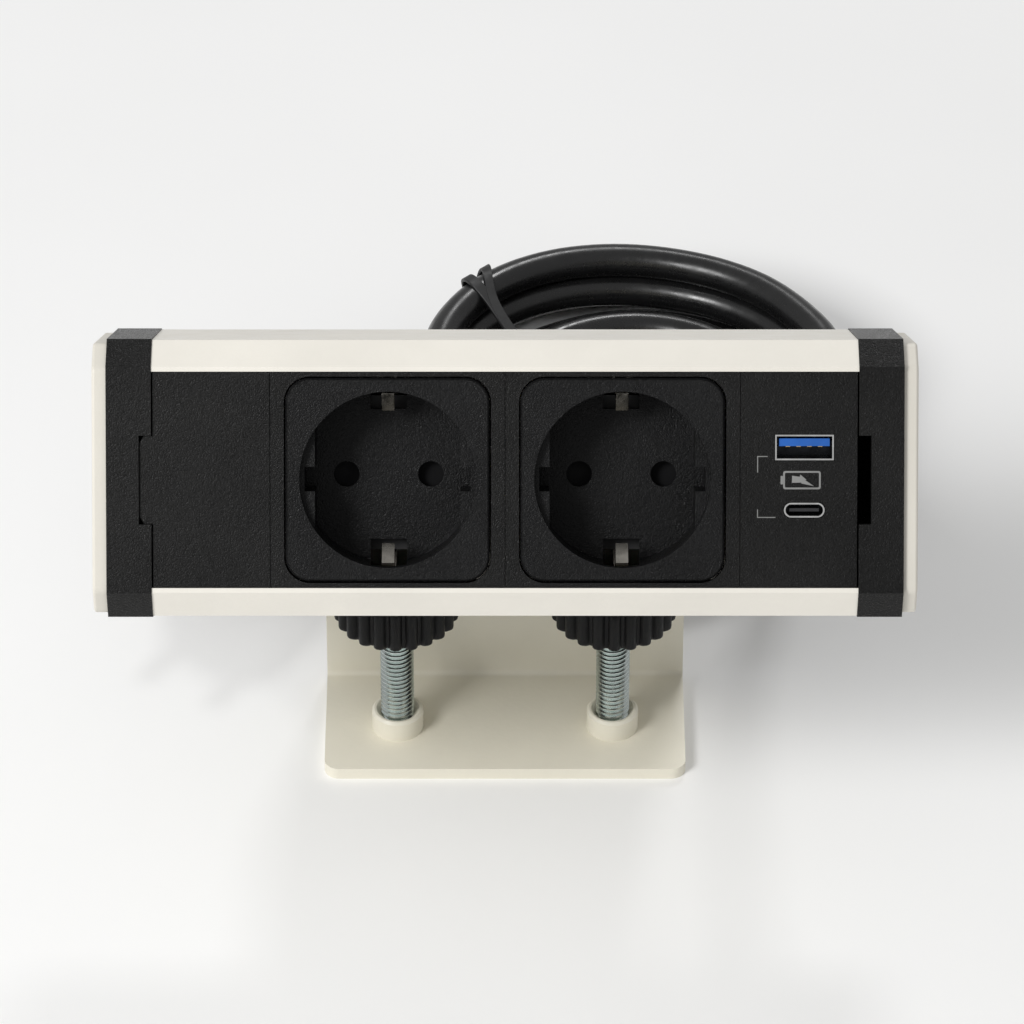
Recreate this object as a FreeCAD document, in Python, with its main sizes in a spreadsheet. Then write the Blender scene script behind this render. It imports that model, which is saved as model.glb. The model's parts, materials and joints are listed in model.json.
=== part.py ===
"""Desk power strip: a tilted aluminium housing with two earthed sockets and a USB charger,
on a sheet-steel clamp bracket with two hand screws, and a coiled mains lead with its plug.

World frame: X along the housing, Y away from the user, Z up, origin under the middle of
the strip on the plane it stands on. The housing's pieces are drawn in the housing's own
frame (X along it, Y its depth from the front face, Z its height from the bottom face) and
placed together by one tilt.
"""
import FreeCAD, Part

import math
import os
import re

import Sketcher

Vector = FreeCAD.Vector

# alias, value in mm or degrees, meaning
DIMENSIONS = [
    ("tilt", 33, "lean of the housing, from upright"),
    ("head_y", -46.02, "front bottom edge of the housing, along Y"),
    ("head_z", 89.2, "front bottom edge of the housing, above the table"),
    ("depth", 54, "housing, front to back"),
    ("height", 62, "housing, bottom to top"),
    ("bevel", 5.7, "chamfer of the housing's four long edges"),
    ("profile_length", 158, "aluminium profile"),
    ("wall", 1.6, "profile wall"),
    ("boss_radius", 2.7, "screw channel in the profile"),
    ("boss_bore", 1.65, "screw channel's bore"),
    ("boss_web", 2.4, "web from a screw channel to the wall"),
    ("slot_wall", 1.4, "round the rear slots"),
    ("slot_lip", 1, "inside the mouth of a rear slot"),
    ("gland_hole", 8.1, "hole in the profile's back for the gland"),
    ("lip", 1.05, "edge of the profile's front opening, past the bevel"),
    ("cap_length", 10.1, "plastic end cap"),
    ("cap_proud", 0.25, "cap outside the profile, all round"),
    ("cap_wall", 3.2, "end cap's side wall"),
    ("cap_floor", 2.4, "end cap's outer wall"),
    ("cap_boss", 3.9, "screw boss in the cap"),
    ("cap_bore", 1.9, "screw hole in the cap"),
    ("cap_sink", 3.3, "counterbore in the cap"),
    ("plate_length", 3.2, "white end plate"),
    ("plate_inset", 0.7, "end plate inside the cap's outline, and its outer fillet"),
    ("plate_corner", 2.4, "end plate's corner fillets"),
    ("end_screw_radius", 1.6, "end screw"),
    ("end_screw_length", 20, "end screw"),
    ("end_head_radius", 3.1, "end screw's head"),
    ("end_head_length", 2, "end screw's head"),
    ("slot_low", 16, "lower rear slot, up the housing"),
    ("slot_high", 46, "upper rear slot, up the housing"),
    ("slot_mouth", 5.4, "rear slot opening"),
    ("slot_width", 9.4, "rear slot inside"),
    ("slot_depth", 4.6, "rear slot, from the rear face"),
    ("middle", 31, "mid-height of the housing"),
    ("channel_y", 9.2, "end screw axes from the front and back faces"),
    ("channel_z", 5.2, "end screw axes from the bottom and top faces"),
    ("face_depth", 0.4, "module faces behind the profile's front edge"),
    ("module_height", 48.3, "height of a module"),
    ("module_gap", 0.15, "gap beside a module"),
    ("unit", 52.5, "module pitch of one socket"),
    ("skirt_depth", 5.4, "module side walls"),
    ("skin", 2.2, "module front plate"),
    ("skirt_wall", 1.5, "module side wall"),
    ("skirt_rail", 0.95, "module top and bottom wall"),
    ("tab_corner", 1.6, "slanted corners of the notch's tab"),
    ("tab_height", 19.6, "notch in the end caps"),
    ("tab_width", 2.8, "notch in the end caps"),
    ("insert_size", 45.6, "square socket insert"),
    ("insert_corner", 5.5, "its corner radius"),
    ("insert_gap", 0.35, "groove round the insert"),
    ("well_radius", 19.75, "socket well"),
    ("well_depth", 17.5, "socket well"),
    ("well_wall", 1.8, "socket well wall"),
    ("pin_pitch", 19, "between the pins"),
    ("pin_hole_radius", 2.9, "holes in the well's floor"),
    ("pin_radius", 2.4, "plug pin"),
    ("pin_length", 19, "plug pin"),
    ("shelf_reach", 16.3, "flat shelves at the well's sides, from its axis"),
    ("shelf_depth", 2.3, "shelf below the insert's face"),
    ("notch_reach", 18.6, "notch in each shelf, from the well's axis"),
    ("notch_height", 5.5, "notch in each shelf"),
    ("guide_gap", 0.2, "plug's flats and ribs to the shelves and notches"),
    ("clip_width", 2.8, "earth contact strip"),
    ("clip_sheet", 0.8, "earth contact strip"),
    ("clip_reach", 15.5, "bend of the earth contact, from the well's axis"),
    ("clip_back", 22.25, "earth contact behind the well, from its axis"),
    ("clip_window", 8.2, "window for the earth contact"),
    ("window_start", 4, "window below the insert's face"),
    ("insert_bevel", 0.5, "edge of the square insert"),
    ("insert_plate", 2.6, "square insert's plate"),
    ("shutter_radius", 12.6, "shutter disc"),
    ("shutter_thickness", 1.4, "shutter disc"),
    ("shutter_angle", 36, "turn that opens the shutter"),
    ("pivot_radius", 2, "shutter pivot"),
    ("base_size", 39, "socket base"),
    ("base_front", 22.6, "front of the socket base, from the housing's face"),
    ("base_depth", 15.4, "socket base"),
    ("sleeve_room", 3.7, "bore in the socket base for a pin contact"),
    ("sleeve_radius", 3.4, "pin contact, outside"),
    ("sleeve_bore", 2.5, "pin contact, inside"),
    ("sleeve_slit", 0.8, "slit along a pin contact"),
    ("groove_radius", 5.2, "groove for the shutter's spring"),
    ("spring_radius", 4.2, "shutter's return spring"),
    ("spring_wire", 0.4, "shutter's return spring, radius of its wire"),
    ("spring_pitch", 1.1, "shutter's return spring"),
    ("charger_x", 65.6, "middle of the charger module"),
    ("usb_x", 66.85, "middle of the outlets"),
    ("usb_a_z", 38.25, "upper outlet, up the housing"),
    ("usb_c_z", 24.2, "lower outlet, up the housing"),
    ("usb_a_width", 13.1, "outlet shell"),
    ("usb_a_height", 5.7, "outlet shell"),
    ("usb_c_width", 9.1, "outlet shell"),
    ("usb_c_height", 3.3, "outlet shell"),
    ("shell_wall", 0.35, "outlet shell sheet"),
    ("shell_depth", 13.3, "outlet shell"),
    ("shell_gap", 0.15, "round an outlet shell"),
    ("tongue_a", 1.7, "upper outlet's tongue"),
    ("tongue_a_rise", 1.1, "upper outlet's tongue above the outlet's middle"),
    ("tongue_c_width", 6.6, "lower outlet's tongue"),
    ("tongue_c", 0.7, "lower outlet's tongue"),
    ("board_sheet", 1.6, "circuit boards"),
    ("sheet", 3, "bracket sheet"),
    ("bracket_width", 86, "bracket"),
    ("bracket_front", 4.18, "front edge of the lower plate, along Y"),
    ("bracket_back", 43.18, "outer face of the upright plate, along Y"),
    ("bracket_top", 63, "top of the flange"),
    ("leaf_length", 49, "leaf up the housing's back"),
    ("leaf_start", 2.2, "flange top, up the housing's back"),
    ("leaf_gap", 0.05, "leaf to the housing's back"),
    ("leaf_screw_x", 28, "leaf screws either side of the middle"),
    ("leaf_hole", 2.25, "screw holes in the leaf"),
    ("leaf_screw", 2, "leaf screw"),
    ("leaf_head", 3.9, "leaf screw's head"),
    ("leaf_head_top", 2.6, "leaf screw's head, at its top"),
    ("leaf_head_height", 2.3, "leaf screw's head"),
    ("outer_bend", 4.2, "outside of the bracket's bends"),
    ("inner_bend", 1.2, "inside of the bracket's bends"),
    ("plate_corners", 3.5, "corners of the lower plate and the leaf"),
    ("screw_x", 25.7, "clamp screws either side of the middle"),
    ("screw_y", 20.5, "clamp screws, along Y"),
    ("stud_radius", 4, "clamp screw"),
    ("stud_low", 0.5, "lower end of the clamp screw"),
    ("collar_radius", 6.15, "threaded collar"),
    ("collar_top", 8.5, "threaded collar"),
    ("collar_sink", 1, "countersink at the collar's mouth"),
    ("collar_tail", 1.25, "step of the collar where it passes the plate"),
    ("thread_clearance", 0.06, "round the clamp screw"),
    ("knob_radius", 14.8, "hand knob over its ribs"),
    ("knob_low", 37.1, "underside of the knob"),
    ("knob_height", 12.5, "hand knob"),
    ("knob_ribs", 22, "ribs round the knob"),
    ("knob_rib", 1.3, "radius of a rib"),
    ("seat_radius", 2.6, "stem on which the swivel pad turns"),
    ("seat_height", 1.6, "stem on which the swivel pad turns"),
    ("pad_radius", 11.5, "swivel pad"),
    ("pad_thickness", 3.2, "swivel pad"),
    ("lining", 1.5, "rubber under the flange"),
    ("lining_width", 30, "rubber under the flange"),
    ("lining_inset", 4, "rubber inside the flange's edges"),
    ("gland_x", 62, "mains lead outlet, along the housing"),
    ("gland_hexagon", 11, "gland body over its corners"),
    ("gland_flat", 5, "thickness of the gland body's hexagon"),
    ("gland_thread", 7.9, "gland's thread"),
    ("gland_neck", 8.4, "gland's neck"),
    ("nut_hexagon", 10, "gland's nut over its corners"),
    ("nut_height", 3, "gland's nut"),
    ("dome_radius", 9.8, "gland's dome"),
    ("dome_length", 9.6, "gland's dome"),
    ("boot_low", 6.6, "lead's bend relief at the gland"),
    ("boot_high", 5.2, "lead's bend relief at its end"),
    ("boot_length", 26, "lead's bend relief"),
    ("cord_radius", 4.25, "mains lead"),
    ("core_radius", 0.9, "core of the lead inside the housing"),
    ("coil_x", 33, "middle of the coiled lead"),
    ("coil_y", 134.8, "middle of the coiled lead"),
    ("coil_outer", 66, "coiled lead, outside of its lowest layer"),
    ("coil_shoulder", 58.6, "coiled lead, outside of its upper layers"),
    ("coil_inner", 30.2, "coiled lead, inside"),
    ("tie_angle", 138, "where the tie is, round the coil from +X"),
    ("tie_width", 3.6, "tie round the coil"),
    ("tie_sheet", 1.1, "tie round the coil"),
    ("plug_face_radius", 18.8, "plug at its face"),
    ("plug_rear_radius", 15, "plug at its rear"),
    ("plug_rim", 15, "wide part of the plug"),
    ("plug_length", 38, "plug body"),
    ("plug_waist", 21, "where the plug's grip starts"),
    ("plug_slot", 9, "slot for the earth contact in the plug's side"),
    ("plug_clip_width", 6, "earth contact on the plug"),
    ("plug_clip", 0.8, "earth contact on the plug"),
    ("plug_boot_low", 7.2, "plug's strain relief at the plug"),
    ("plug_boot_high", 5.3, "plug's strain relief at its end"),
    ("plug_boot_length", 22, "plug's strain relief"),
    ("plug_x", -63.5, "middle of the plug's face"),
    ("plug_y", 75.83, "middle of the plug's face"),
    ("plug_turn", 60, "plug's axis, from +X towards +Y, going back to the lead"),
]

SIZE = {alias: value for alias, value, _ in DIMENSIONS}

# The mains lead from its outlet to the coil, and from the coil to the plug.
LEAD_ROUTE = [(62, 52.84, 61.96), (62, 75.48, 47.26), (68.5, 101, 32.4), (79, 126.5, 22.9), (84, 148, 21.2)]
TAIL_ROUTE = [(-11, 178.5, 4.7), (-21.5, 161.5, 5), (-27, 138.93, 7.95), (-33.98, 126.96, 10.49)]

# The four screw channels along the housing, as (depth, height) in its section.
CHANNELS = [(y, z) for y in ("channel_y", "depth - channel_y") for z in ("channel_z", "height - channel_z")]

PLANES = {"front": ("XZ_Plane", -1), "side": ("YZ_Plane", 1), "top": ("XY_Plane", 1)}
HEAD = ("create(<<placement>>; create(<<vector>>; 0; head_y; head_z);"
        " create(<<rotation>>; create(<<vector>>; 1; 0; 0); -tilt))")

doc = FreeCAD.newDocument("desk_power_strip")
sub_parts = []


def make_sheet():
    """The driving dimensions, one to a row."""
    sheet = doc.addObject("Spreadsheet::Sheet", "Dim")
    for row, (alias, value, meaning) in enumerate(DIMENSIONS, start=1):
        sheet.set(f"A{row}", alias)
        sheet.set(f"B{row}", str(value))
        sheet.set(f"C{row}", meaning)
        sheet.setAlias(f"B{row}", alias)
    doc.recompute()


def bound(text):
    """An expression in which each dimension's name refers to the spreadsheet."""
    return re.sub(r"[a-z][a-z_]*", lambda word: "Dim." + word[0] if word[0] in SIZE else word[0], str(text))


def tie(item, **sizes):
    """Binds an object's properties to expressions of the dimensions."""
    for name, text in sizes.items():
        item.setExpression(name, bound(text))
    return item


def place(item, label, where=None):
    """Names a finished sub-part and puts it where it belongs."""
    item.Label = label
    if where:
        item.setExpression("Placement", bound(where))
    sub_parts.append(item)
    return item


def at(x="0", y="0", z="0", axis=(0, 0, 1), angle="0"):
    """A placement expression."""
    ax, ay, az = axis
    return (f"create(<<placement>>; create(<<vector>>; {x}; {y}; {z});"
            f" create(<<rotation>>; create(<<vector>>; {ax}; {ay}; {az}); {angle}))")


# Sketched bodies


def new_body(name):
    return doc.addObject("PartDesign::Body", name)


def draw(body, plane, loops, start="0"):
    """A sketch parallel to one of the body's own planes, each point bound to the dimensions."""
    role, sign = PLANES[plane]
    sketch = body.newObject("Sketcher::SketchObject", "Sketch")
    support = [feature for feature in body.Origin.OriginFeatures if feature.Role == role][0]
    sketch.AttachmentSupport = [(support, "")]
    sketch.MapMode = "FlatFace"
    sketch.setExpression("AttachmentOffset.Base.z", bound(f"{sign} * ({start})"))
    for loop in loops:
        if loop[0] == "circle":
            add_circle(sketch, *loop[1:])
        else:
            add_polygon(sketch, loop)
    return sketch


def add_circle(sketch, x, y, radius):
    circle = sketch.addGeometry(Part.Circle(Vector(1, 1, 0), Vector(0, 0, 1), 1), False)
    first = sketch.ConstraintCount
    sketch.addConstraint([
        Sketcher.Constraint("DistanceX", -1, 1, circle, 3, 1.0),
        Sketcher.Constraint("DistanceY", -1, 1, circle, 3, 1.0),
        Sketcher.Constraint("Radius", circle, 1.0),
    ])
    for index, text in enumerate((x, y, radius)):
        sketch.setExpression(f"Constraints[{first + index}]", bound(text))


def add_polygon(sketch, corners):
    """A closed outline of straight edges."""
    count = len(corners)
    ring = [Vector(10 * math.cos(math.tau * i / count), 10 * math.sin(math.tau * i / count), 0)
            for i in range(count)]
    edges = [Part.LineSegment(ring[i], ring[(i + 1) % count]) for i in range(count)]
    base = sketch.addGeometry(edges, False)[0]
    links = [Sketcher.Constraint("Coincident", base + i, 2, base + (i + 1) % count, 1) for i in range(count)]
    for i, point in enumerate(ring):
        links.append(Sketcher.Constraint("DistanceX", -1, 1, base + i, 1, point.x))
        links.append(Sketcher.Constraint("DistanceY", -1, 1, base + i, 1, point.y))
    first = sketch.ConstraintCount + count
    sketch.addConstraint(links)
    for i, corner in enumerate(corners):
        sketch.setExpression(f"Constraints[{first + 2 * i}]", bound(corner[0]))
        sketch.setExpression(f"Constraints[{first + 2 * i + 1}]", bound(corner[1]))


def extrude(body, kind, plane, loops, start, length):
    """A pad or pocket from start, over length, towards the positive side of its plane."""
    sketch = draw(body, plane, loops, start)
    feature = body.newObject("PartDesign::" + kind, kind)
    feature.Profile = sketch
    feature.setExpression("Length", bound(length))
    feature.Reversed = (kind == "Pocket") == (PLANES[plane][1] > 0)
    return feature


def pad(body, plane, loops, start, length):
    return extrude(body, "Pad", plane, loops, start, length)


def pocket(body, plane, loops, start, length):
    return extrude(body, "Pocket", plane, loops, start, length)


def revolve(body, profile, kind="Revolution"):
    """Turns an outline of (radius, height) points about the body's Z axis."""
    sketch = draw(body, "front", [profile])
    feature = body.newObject("PartDesign::" + kind, kind)
    feature.Profile = sketch
    feature.ReferenceAxis = (sketch, ["V_Axis"])
    feature.Angle = 360
    return feature


def repeat(body, feature, axis, count_text):
    """Repeats a feature round one of the body's axes."""
    pattern = body.newObject("PartDesign::PolarPattern", "PolarPattern")
    pattern.Originals = [feature]
    line = [item for item in body.Origin.OriginFeatures if item.Role == axis][0]
    pattern.Axis = (line, [""])
    pattern.Angle = 360
    pattern.setExpression("Occurrences", bound(count_text))
    body.Tip = pattern
    return pattern


def dress(body, kind, size, chosen):
    """Rounds or bevels those edges of the body's tip that chosen accepts."""
    doc.recompute()
    base = body.Tip
    names = [f"Edge{i}" for i, edge in enumerate(base.Shape.Edges, start=1) if chosen(edge)]
    feature = body.newObject("PartDesign::" + kind, kind)
    feature.Base = (base, names)
    feature.setExpression("Radius" if kind == "Fillet" else "Size", bound(size))
    body.Tip = feature
    return feature


def along(edge, axis, least=0.0):
    """Whether an edge is straight, runs along an axis and is at least so long."""
    if len(edge.Vertexes) != 2 or edge.Curve.TypeId != "Part::GeomLine":
        return False
    return abs(abs(edge.Curve.Direction.dot(axis)) - 1) < 1e-6 and edge.Length > least


def rectangle(x_low, y_low, x_high, y_high):
    return [(x_low, y_low), (x_high, y_low), (x_high, y_high), (x_low, y_high)]


def centred(x, y, width, height):
    return rectangle(f"{x} - ({width}) / 2", f"{y} - ({height}) / 2",
                     f"{x} + ({width}) / 2", f"{y} + ({height}) / 2")


def housing_outline(inset="0", out="0"):
    """The housing's eight-sided section, moved inwards or outwards all round."""
    low = f"({inset} - ({out}))"
    shoulder = f"(bevel + {low} * (sqrt(2) - 1))"
    return [
        (shoulder, low), (f"depth - {shoulder}", low),
        (f"depth - {low}", shoulder), (f"depth - {low}", f"height - {shoulder}"),
        (f"depth - {shoulder}", f"height - {low}"), (shoulder, f"height - {low}"),
        (low, f"height - {shoulder}"), (low, shoulder),
    ]


# Primitives and booleans


def cylinder(name, radius, length, where):
    return tie(doc.addObject("Part::Cylinder", name), Radius=radius, Height=length, Placement=where)


def block(name, length, width, height, where):
    return tie(doc.addObject("Part::Box", name), Length=length, Width=width, Height=height, Placement=where)


def cone(name, low, high, length, where):
    return tie(doc.addObject("Part::Cone", name), Radius1=low, Radius2=high, Height=length, Placement=where)


def cut(name, base, tool):
    item = doc.addObject("Part::Cut", name)
    item.Base = base
    item.Tool = tool
    return item


def fuse(name, pieces):
    item = doc.addObject("Part::MultiFuse", name)
    item.Shapes = pieces
    return item


def group(name, pieces):
    item = doc.addObject("Part::Compound", name)
    item.Links = pieces
    return item


def shaped(name, label, shape):
    """A sub-part whose solid is worked out below."""
    item = doc.addObject("Part::Feature", name)
    item.Shape = shape
    item.Label = label
    sub_parts.append(item)
    return item


# Housing


def make_profile():
    """The extrusion: an open-fronted tube with screw channels and two rear slots."""
    body = new_body("Profile")
    half = "profile_length / 2"
    pad(body, "side", [housing_outline()], f"-{half}", "profile_length")
    pocket(body, "side", [housing_outline("wall")], f"-{half}", "profile_length")
    for y, z in CHANNELS:
        wall_z = "wall" if z == "channel_z" else "height - wall"
        arm = centred(y, f"({z} + {wall_z}) / 2", "boss_web", "channel_z - wall + 0.6")
        pad(body, "side", [arm], f"-{half}", "profile_length")
        pad(body, "side", [("circle", y, z, "boss_radius")], f"-{half}", "profile_length")
    for z in ("slot_low", "slot_high"):
        pad(body, "side", [rectangle("depth - slot_depth - slot_wall", f"{z} - slot_width / 2 - slot_wall",
                                     "depth - wall / 2", f"{z} + slot_width / 2 + slot_wall")],
            f"-{half}", "profile_length")
        pocket(body, "side", [rectangle("depth - slot_depth", f"{z} - slot_width / 2",
                                        "depth - wall", f"{z} + slot_width / 2")],
               f"-{half}", "profile_length")
        pocket(body, "side", [rectangle("depth - slot_depth + slot_lip", f"{z} - slot_mouth / 2",
                                        "depth + 1", f"{z} + slot_mouth / 2")],
               f"-{half}", "profile_length")
    for y, z in CHANNELS:
        pocket(body, "side", [("circle", y, z, "boss_bore")], f"-{half}", "profile_length")
    pocket(body, "side", [rectangle("-1", "bevel + lip", "wall + 0.2", "height - bevel - lip")],
           f"-{half}", "profile_length")
    pocket(body, "front", [("circle", "gland_x", "middle", "gland_hole")], "depth - 2 * wall", "4 * wall")
    place(body, "housing_profile", HEAD)


def make_end(side, name):
    """One end of the housing: the black cap, the white plate and the screws between them."""
    inner = f"{side} * profile_length / 2"
    start = inner if side > 0 else f"{inner} - cap_length"
    outer_start = "profile_length / 2 + cap_length" if side > 0 \
        else "-profile_length / 2 - cap_length - plate_length"
    cap = new_body("Cap")
    pad(cap, "side", [housing_outline("0", "cap_proud")], start, "cap_length")
    room = f"{inner} - 0.1" if side > 0 else f"{inner} - cap_length + cap_floor"
    pocket(cap, "side", [housing_outline("cap_wall")], room, "cap_length - cap_floor + 0.1")
    for y, z in CHANNELS:
        pad(cap, "side", [("circle", y, z, "cap_boss")], start, "cap_length")
        pocket(cap, "side", [("circle", y, z, "cap_bore")], f"{start} - 1", "cap_length + 2")
    notch_x = f"{side} * (profile_length / 2 + tab_width / 2 - 0.05)"
    pocket(cap, "front", [centred(notch_x, "middle", "tab_width + 0.1", "tab_height + 0.3")], "-1", "4.6")
    place(cap, f"end_cap_{name}", HEAD)

    plate = new_body("Plate")
    pad(plate, "side", [housing_outline("plate_inset")], outer_start, "plate_length")
    dress(plate, "Fillet", "plate_corner", lambda edge: along(edge, Vector(1, 0, 0)))
    outer_x = side * (SIZE["profile_length"] / 2 + SIZE["cap_length"] + SIZE["plate_length"])
    dress(plate, "Fillet", "plate_inset", lambda edge: all(abs(v.X - outer_x) < 1e-4 for v in edge.Vertexes)
          and abs(edge.CenterOfMass.x - outer_x) < 1e-4)
    place(plate, f"end_plate_{name}", HEAD)

    screws = []
    head = f"{side} * (profile_length / 2 + cap_length - 0.05)"
    for y, z in CHANNELS:
        shank = cylinder("Shank", "end_screw_radius", "end_screw_length",
                         at(head, y, z, (0, 1, 0), f"{-side * 90}"))
        screw_head = cylinder("Head", "end_head_radius", "end_head_length",
                              at(f"{head} - {side} * end_head_length", y, z, (0, 1, 0), f"{side * 90}"))
        screws.append(fuse("Screw", [shank, screw_head]))
    place(group("Screws", screws), f"end_screws_{name}", HEAD)
    sink = "profile_length / 2 + cap_length - end_head_length - 0.2" if side > 0 \
        else "-profile_length / 2 - cap_length - 0.1"
    for y, z in CHANNELS:
        pocket(cap, "side", [("circle", y, z, "cap_sink")], sink, "end_head_length + 0.3")


def module_shell(name, x, width):
    """A snap-in module: a front plate with a skirt behind it."""
    body = new_body(name)
    face = "face_depth"
    outline = centred(x, "middle", f"{width} - module_gap", "module_height")
    pad(body, "front", [outline], face, "skirt_depth")
    hollow = centred(x, "middle", f"{width} - module_gap - 2 * skirt_wall",
                     "module_height - 2 * skirt_rail")
    pocket(body, "front", [hollow], f"{face} + skin", "skirt_depth")
    return body


def make_blank():
    """The blank module, whose tab fills the left cap's notch."""
    x = "-(unit + unit / 4)"
    body = module_shell("Blank", x, "unit / 2")
    edge = "-(unit * 1.5) + module_gap / 2 + 0.2"
    tip = "-(profile_length / 2 + tab_width - 0.15)"
    half = "tab_height / 2"
    pad(body, "front", [[
        (edge, f"middle - {half} - tab_corner"), (edge, f"middle + {half} + tab_corner"),
        (edge + " - 0.3", f"middle + {half}"), (tip + " + 1", f"middle + {half}"),
        (tip, f"middle + {half} - tab_corner"), (tip, f"middle - {half} + tab_corner"),
        (tip + " + 1", f"middle - {half}"), (edge + " - 0.3", f"middle - {half}"),
    ]], "face_depth", "skin")
    place(body, "blank_module", HEAD)


def make_socket_frame(x, name):
    body = module_shell("SocketFrame", x, "unit")
    hole = centred(x, "middle", "insert_size + 2 * insert_gap", "insert_size + 2 * insert_gap")
    pocket(body, "front", [hole], "face_depth - 1", "skin + 2")
    centre = SIZE["unit"] / 2
    dress(body, "Fillet", "insert_corner + insert_gap",
          lambda edge: along(edge, Vector(0, 1, 0)) and edge.Length < SIZE["skin"] + 0.1
          and abs(abs(edge.CenterOfMass.x) - centre) < SIZE["insert_size"] / 2 + 0.6)
    place(body, f"socket_frame_{name}", HEAD)


def make_socket_insert(x, name):
    """The square insert: a round well with notched side shelves, pin holes and earth windows."""
    body = new_body("Insert")
    face = "face_depth - 0.1"
    pad(body, "front", [centred(x, "middle", "insert_size", "insert_size")], face, "insert_plate")
    dress(body, "Fillet", "insert_corner", lambda edge: along(edge, Vector(0, 1, 0)))
    dress(body, "Chamfer", "insert_bevel",
          lambda edge: abs(edge.CenterOfMass.y - SIZE["face_depth"] + 0.1) < 1e-4)
    pad(body, "front", [("circle", x, "middle", "well_radius + well_wall")], "face_depth + 1",
        "well_depth + 1")
    pocket(body, "front", [("circle", x, "middle", "well_radius")], f"{face} - 1", "well_depth + 1")
    for side in (-1, 1):
        pad(body, "front", [side_shelf(x, side)], f"{face} + shelf_depth", "well_depth - shelf_depth + 1")
        notch = rectangle(f"{x} + {side} * shelf_reach / 2", "middle - notch_height / 2",
                          f"{x} + {side} * notch_reach", "middle + notch_height / 2")
        pocket(body, "front", [notch], face, "well_depth")
        pocket(body, "front", [("circle", f"{x} + {side} * pin_pitch / 2", "middle", "pin_hole_radius")],
               "face_depth + well_depth - 1", "4")
        window = centred(x, f"middle + {side} * (clip_reach + clip_back) / 2",
                         "clip_window", "clip_back - clip_reach + 2 * clip_sheet")
        pocket(body, "front", [window], f"{face} + window_start", "well_depth")
    place(body, f"socket_insert_{name}", HEAD)


def side_shelf(x, side):
    """The outline of the shelf that fills one side of the well up to a chord, and a little of its wall."""
    chord = "sqrt(well_radius ^ 2 - shelf_reach ^ 2)"
    outside = "well_radius + well_wall / 2"
    near, far = f"{x} + {side} * shelf_reach", f"{x} + {side} * ({outside})"
    corner = f"{x} + {side} * (shelf_reach + well_wall)"
    return [
        (near, f"middle - {chord} - 0.1"), (corner, f"middle - {chord} - 0.1"),
        (far, f"middle - {chord} / 2"), (far, f"middle + {chord} / 2"),
        (corner, f"middle + {chord} + 0.1"), (near, f"middle + {chord} + 0.1"),
    ]


def make_socket_base(x, name):
    """The block behind the well that carries the contacts and the shutter's pivot."""
    body = new_body("SocketBase")
    pad(body, "front", [centred(x, "middle", "base_size", "base_size - 4")], "base_front", "base_depth")
    pad(body, "front", [("circle", x, "middle", "pivot_radius")], "base_front - 2.2", "3")
    for side in (-1, 1):
        pocket(body, "front", [("circle", f"{x} + {side} * pin_pitch / 2", "middle", "sleeve_room")],
               "base_front - 1", "base_depth + 2")
    groove = [("circle", x, "middle", "groove_radius"), ("circle", x, "middle", "pivot_radius + 1.2")]
    pocket(body, "front", groove, "base_front - 1", "4")
    place(body, f"socket_base_{name}", HEAD)


def make_shutter(x, name):
    """A disc that covers the pin holes until it is turned."""
    body = new_body("Shutter")
    disc = [("circle", x, "middle", "shutter_radius"), ("circle", x, "middle", "pivot_radius + 0.05")]
    pad(body, "front", disc, "base_front - 2", "shutter_thickness")
    for side in (-1, 1):
        pocket(body, "front", [("circle", f"{x} + {side} * pin_pitch / 2 * cos(shutter_angle * 1 deg)",
                                f"middle + {side} * pin_pitch / 2 * sin(shutter_angle * 1 deg)",
                                "pin_hole_radius")], "base_front - 4", "6")
    place(body, f"shutter_{name}", HEAD)


def make_shutter_spring(x, name):
    """The shutter's return spring: two turns of wire lying in the base's ring groove."""
    turns = []
    for turn in range(2):
        ring = doc.addObject("Part::Torus", "Turn")
        tie(ring, Radius1="spring_radius", Radius2="spring_wire",
            Placement=at(x, f"base_front + 1 + {turn} * spring_pitch", "middle", (1, 0, 0), "90"))
        turns.append(ring)
    place(group("ShutterSpring", turns), f"shutter_spring_{name}", HEAD)


def make_contacts(x, name):
    """The two slit brass sleeves that take the pins."""
    sleeves = []
    for side in (-1, 1):
        centre = f"{x} + {side} * pin_pitch / 2"
        where = at(centre, "base_front + 0.6", "middle", (1, 0, 0), "-90")
        tube = cylinder("Sleeve", "sleeve_radius", "base_depth", where)
        bore = cylinder("Bore", "sleeve_bore", "base_depth - 2",
                        at(centre, "base_front", "middle", (1, 0, 0), "-90"))
        slit = block("Slit", "sleeve_slit", "base_depth - 4", "2 * sleeve_radius + 1",
                     at(f"{centre} - sleeve_slit / 2", "base_front", "middle - sleeve_radius - 0.5"))
        sleeves.append(cut("SlitSleeve", cut("Bored", tube, bore), slit))
    place(group("Contacts", sleeves), f"pin_contacts_{name}", HEAD)


def make_earth_clip(x, name):
    """One bent strip: a spring contact at the top and bottom of the well, joined behind."""
    body = new_body("EarthClip")
    front = SIZE["face_depth"] + SIZE["window_start"] + 1.5
    floor = SIZE["face_depth"] + SIZE["well_depth"]
    back = SIZE["base_front"] + SIZE["base_depth"] + 1.2
    well, behind = SIZE["well_radius"], SIZE["clip_back"]
    bend = [(front, well - 0.4), (front + 3.4, SIZE["clip_reach"]), (floor - 4.4, well - 0.6),
            (floor - 2.8, behind), (back, behind), (back, 0)]
    line = [(y, SIZE["middle"] + z) for y, z in bend] + [(y, SIZE["middle"] - z) for y, z in bend[-2::-1]]
    outline = thickened(line, SIZE["clip_sheet"] / 2)
    pad(body, "side", [outline], f"{x} - clip_width / 2", "clip_width")
    place(body, f"earth_clip_{name}", HEAD)


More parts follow.
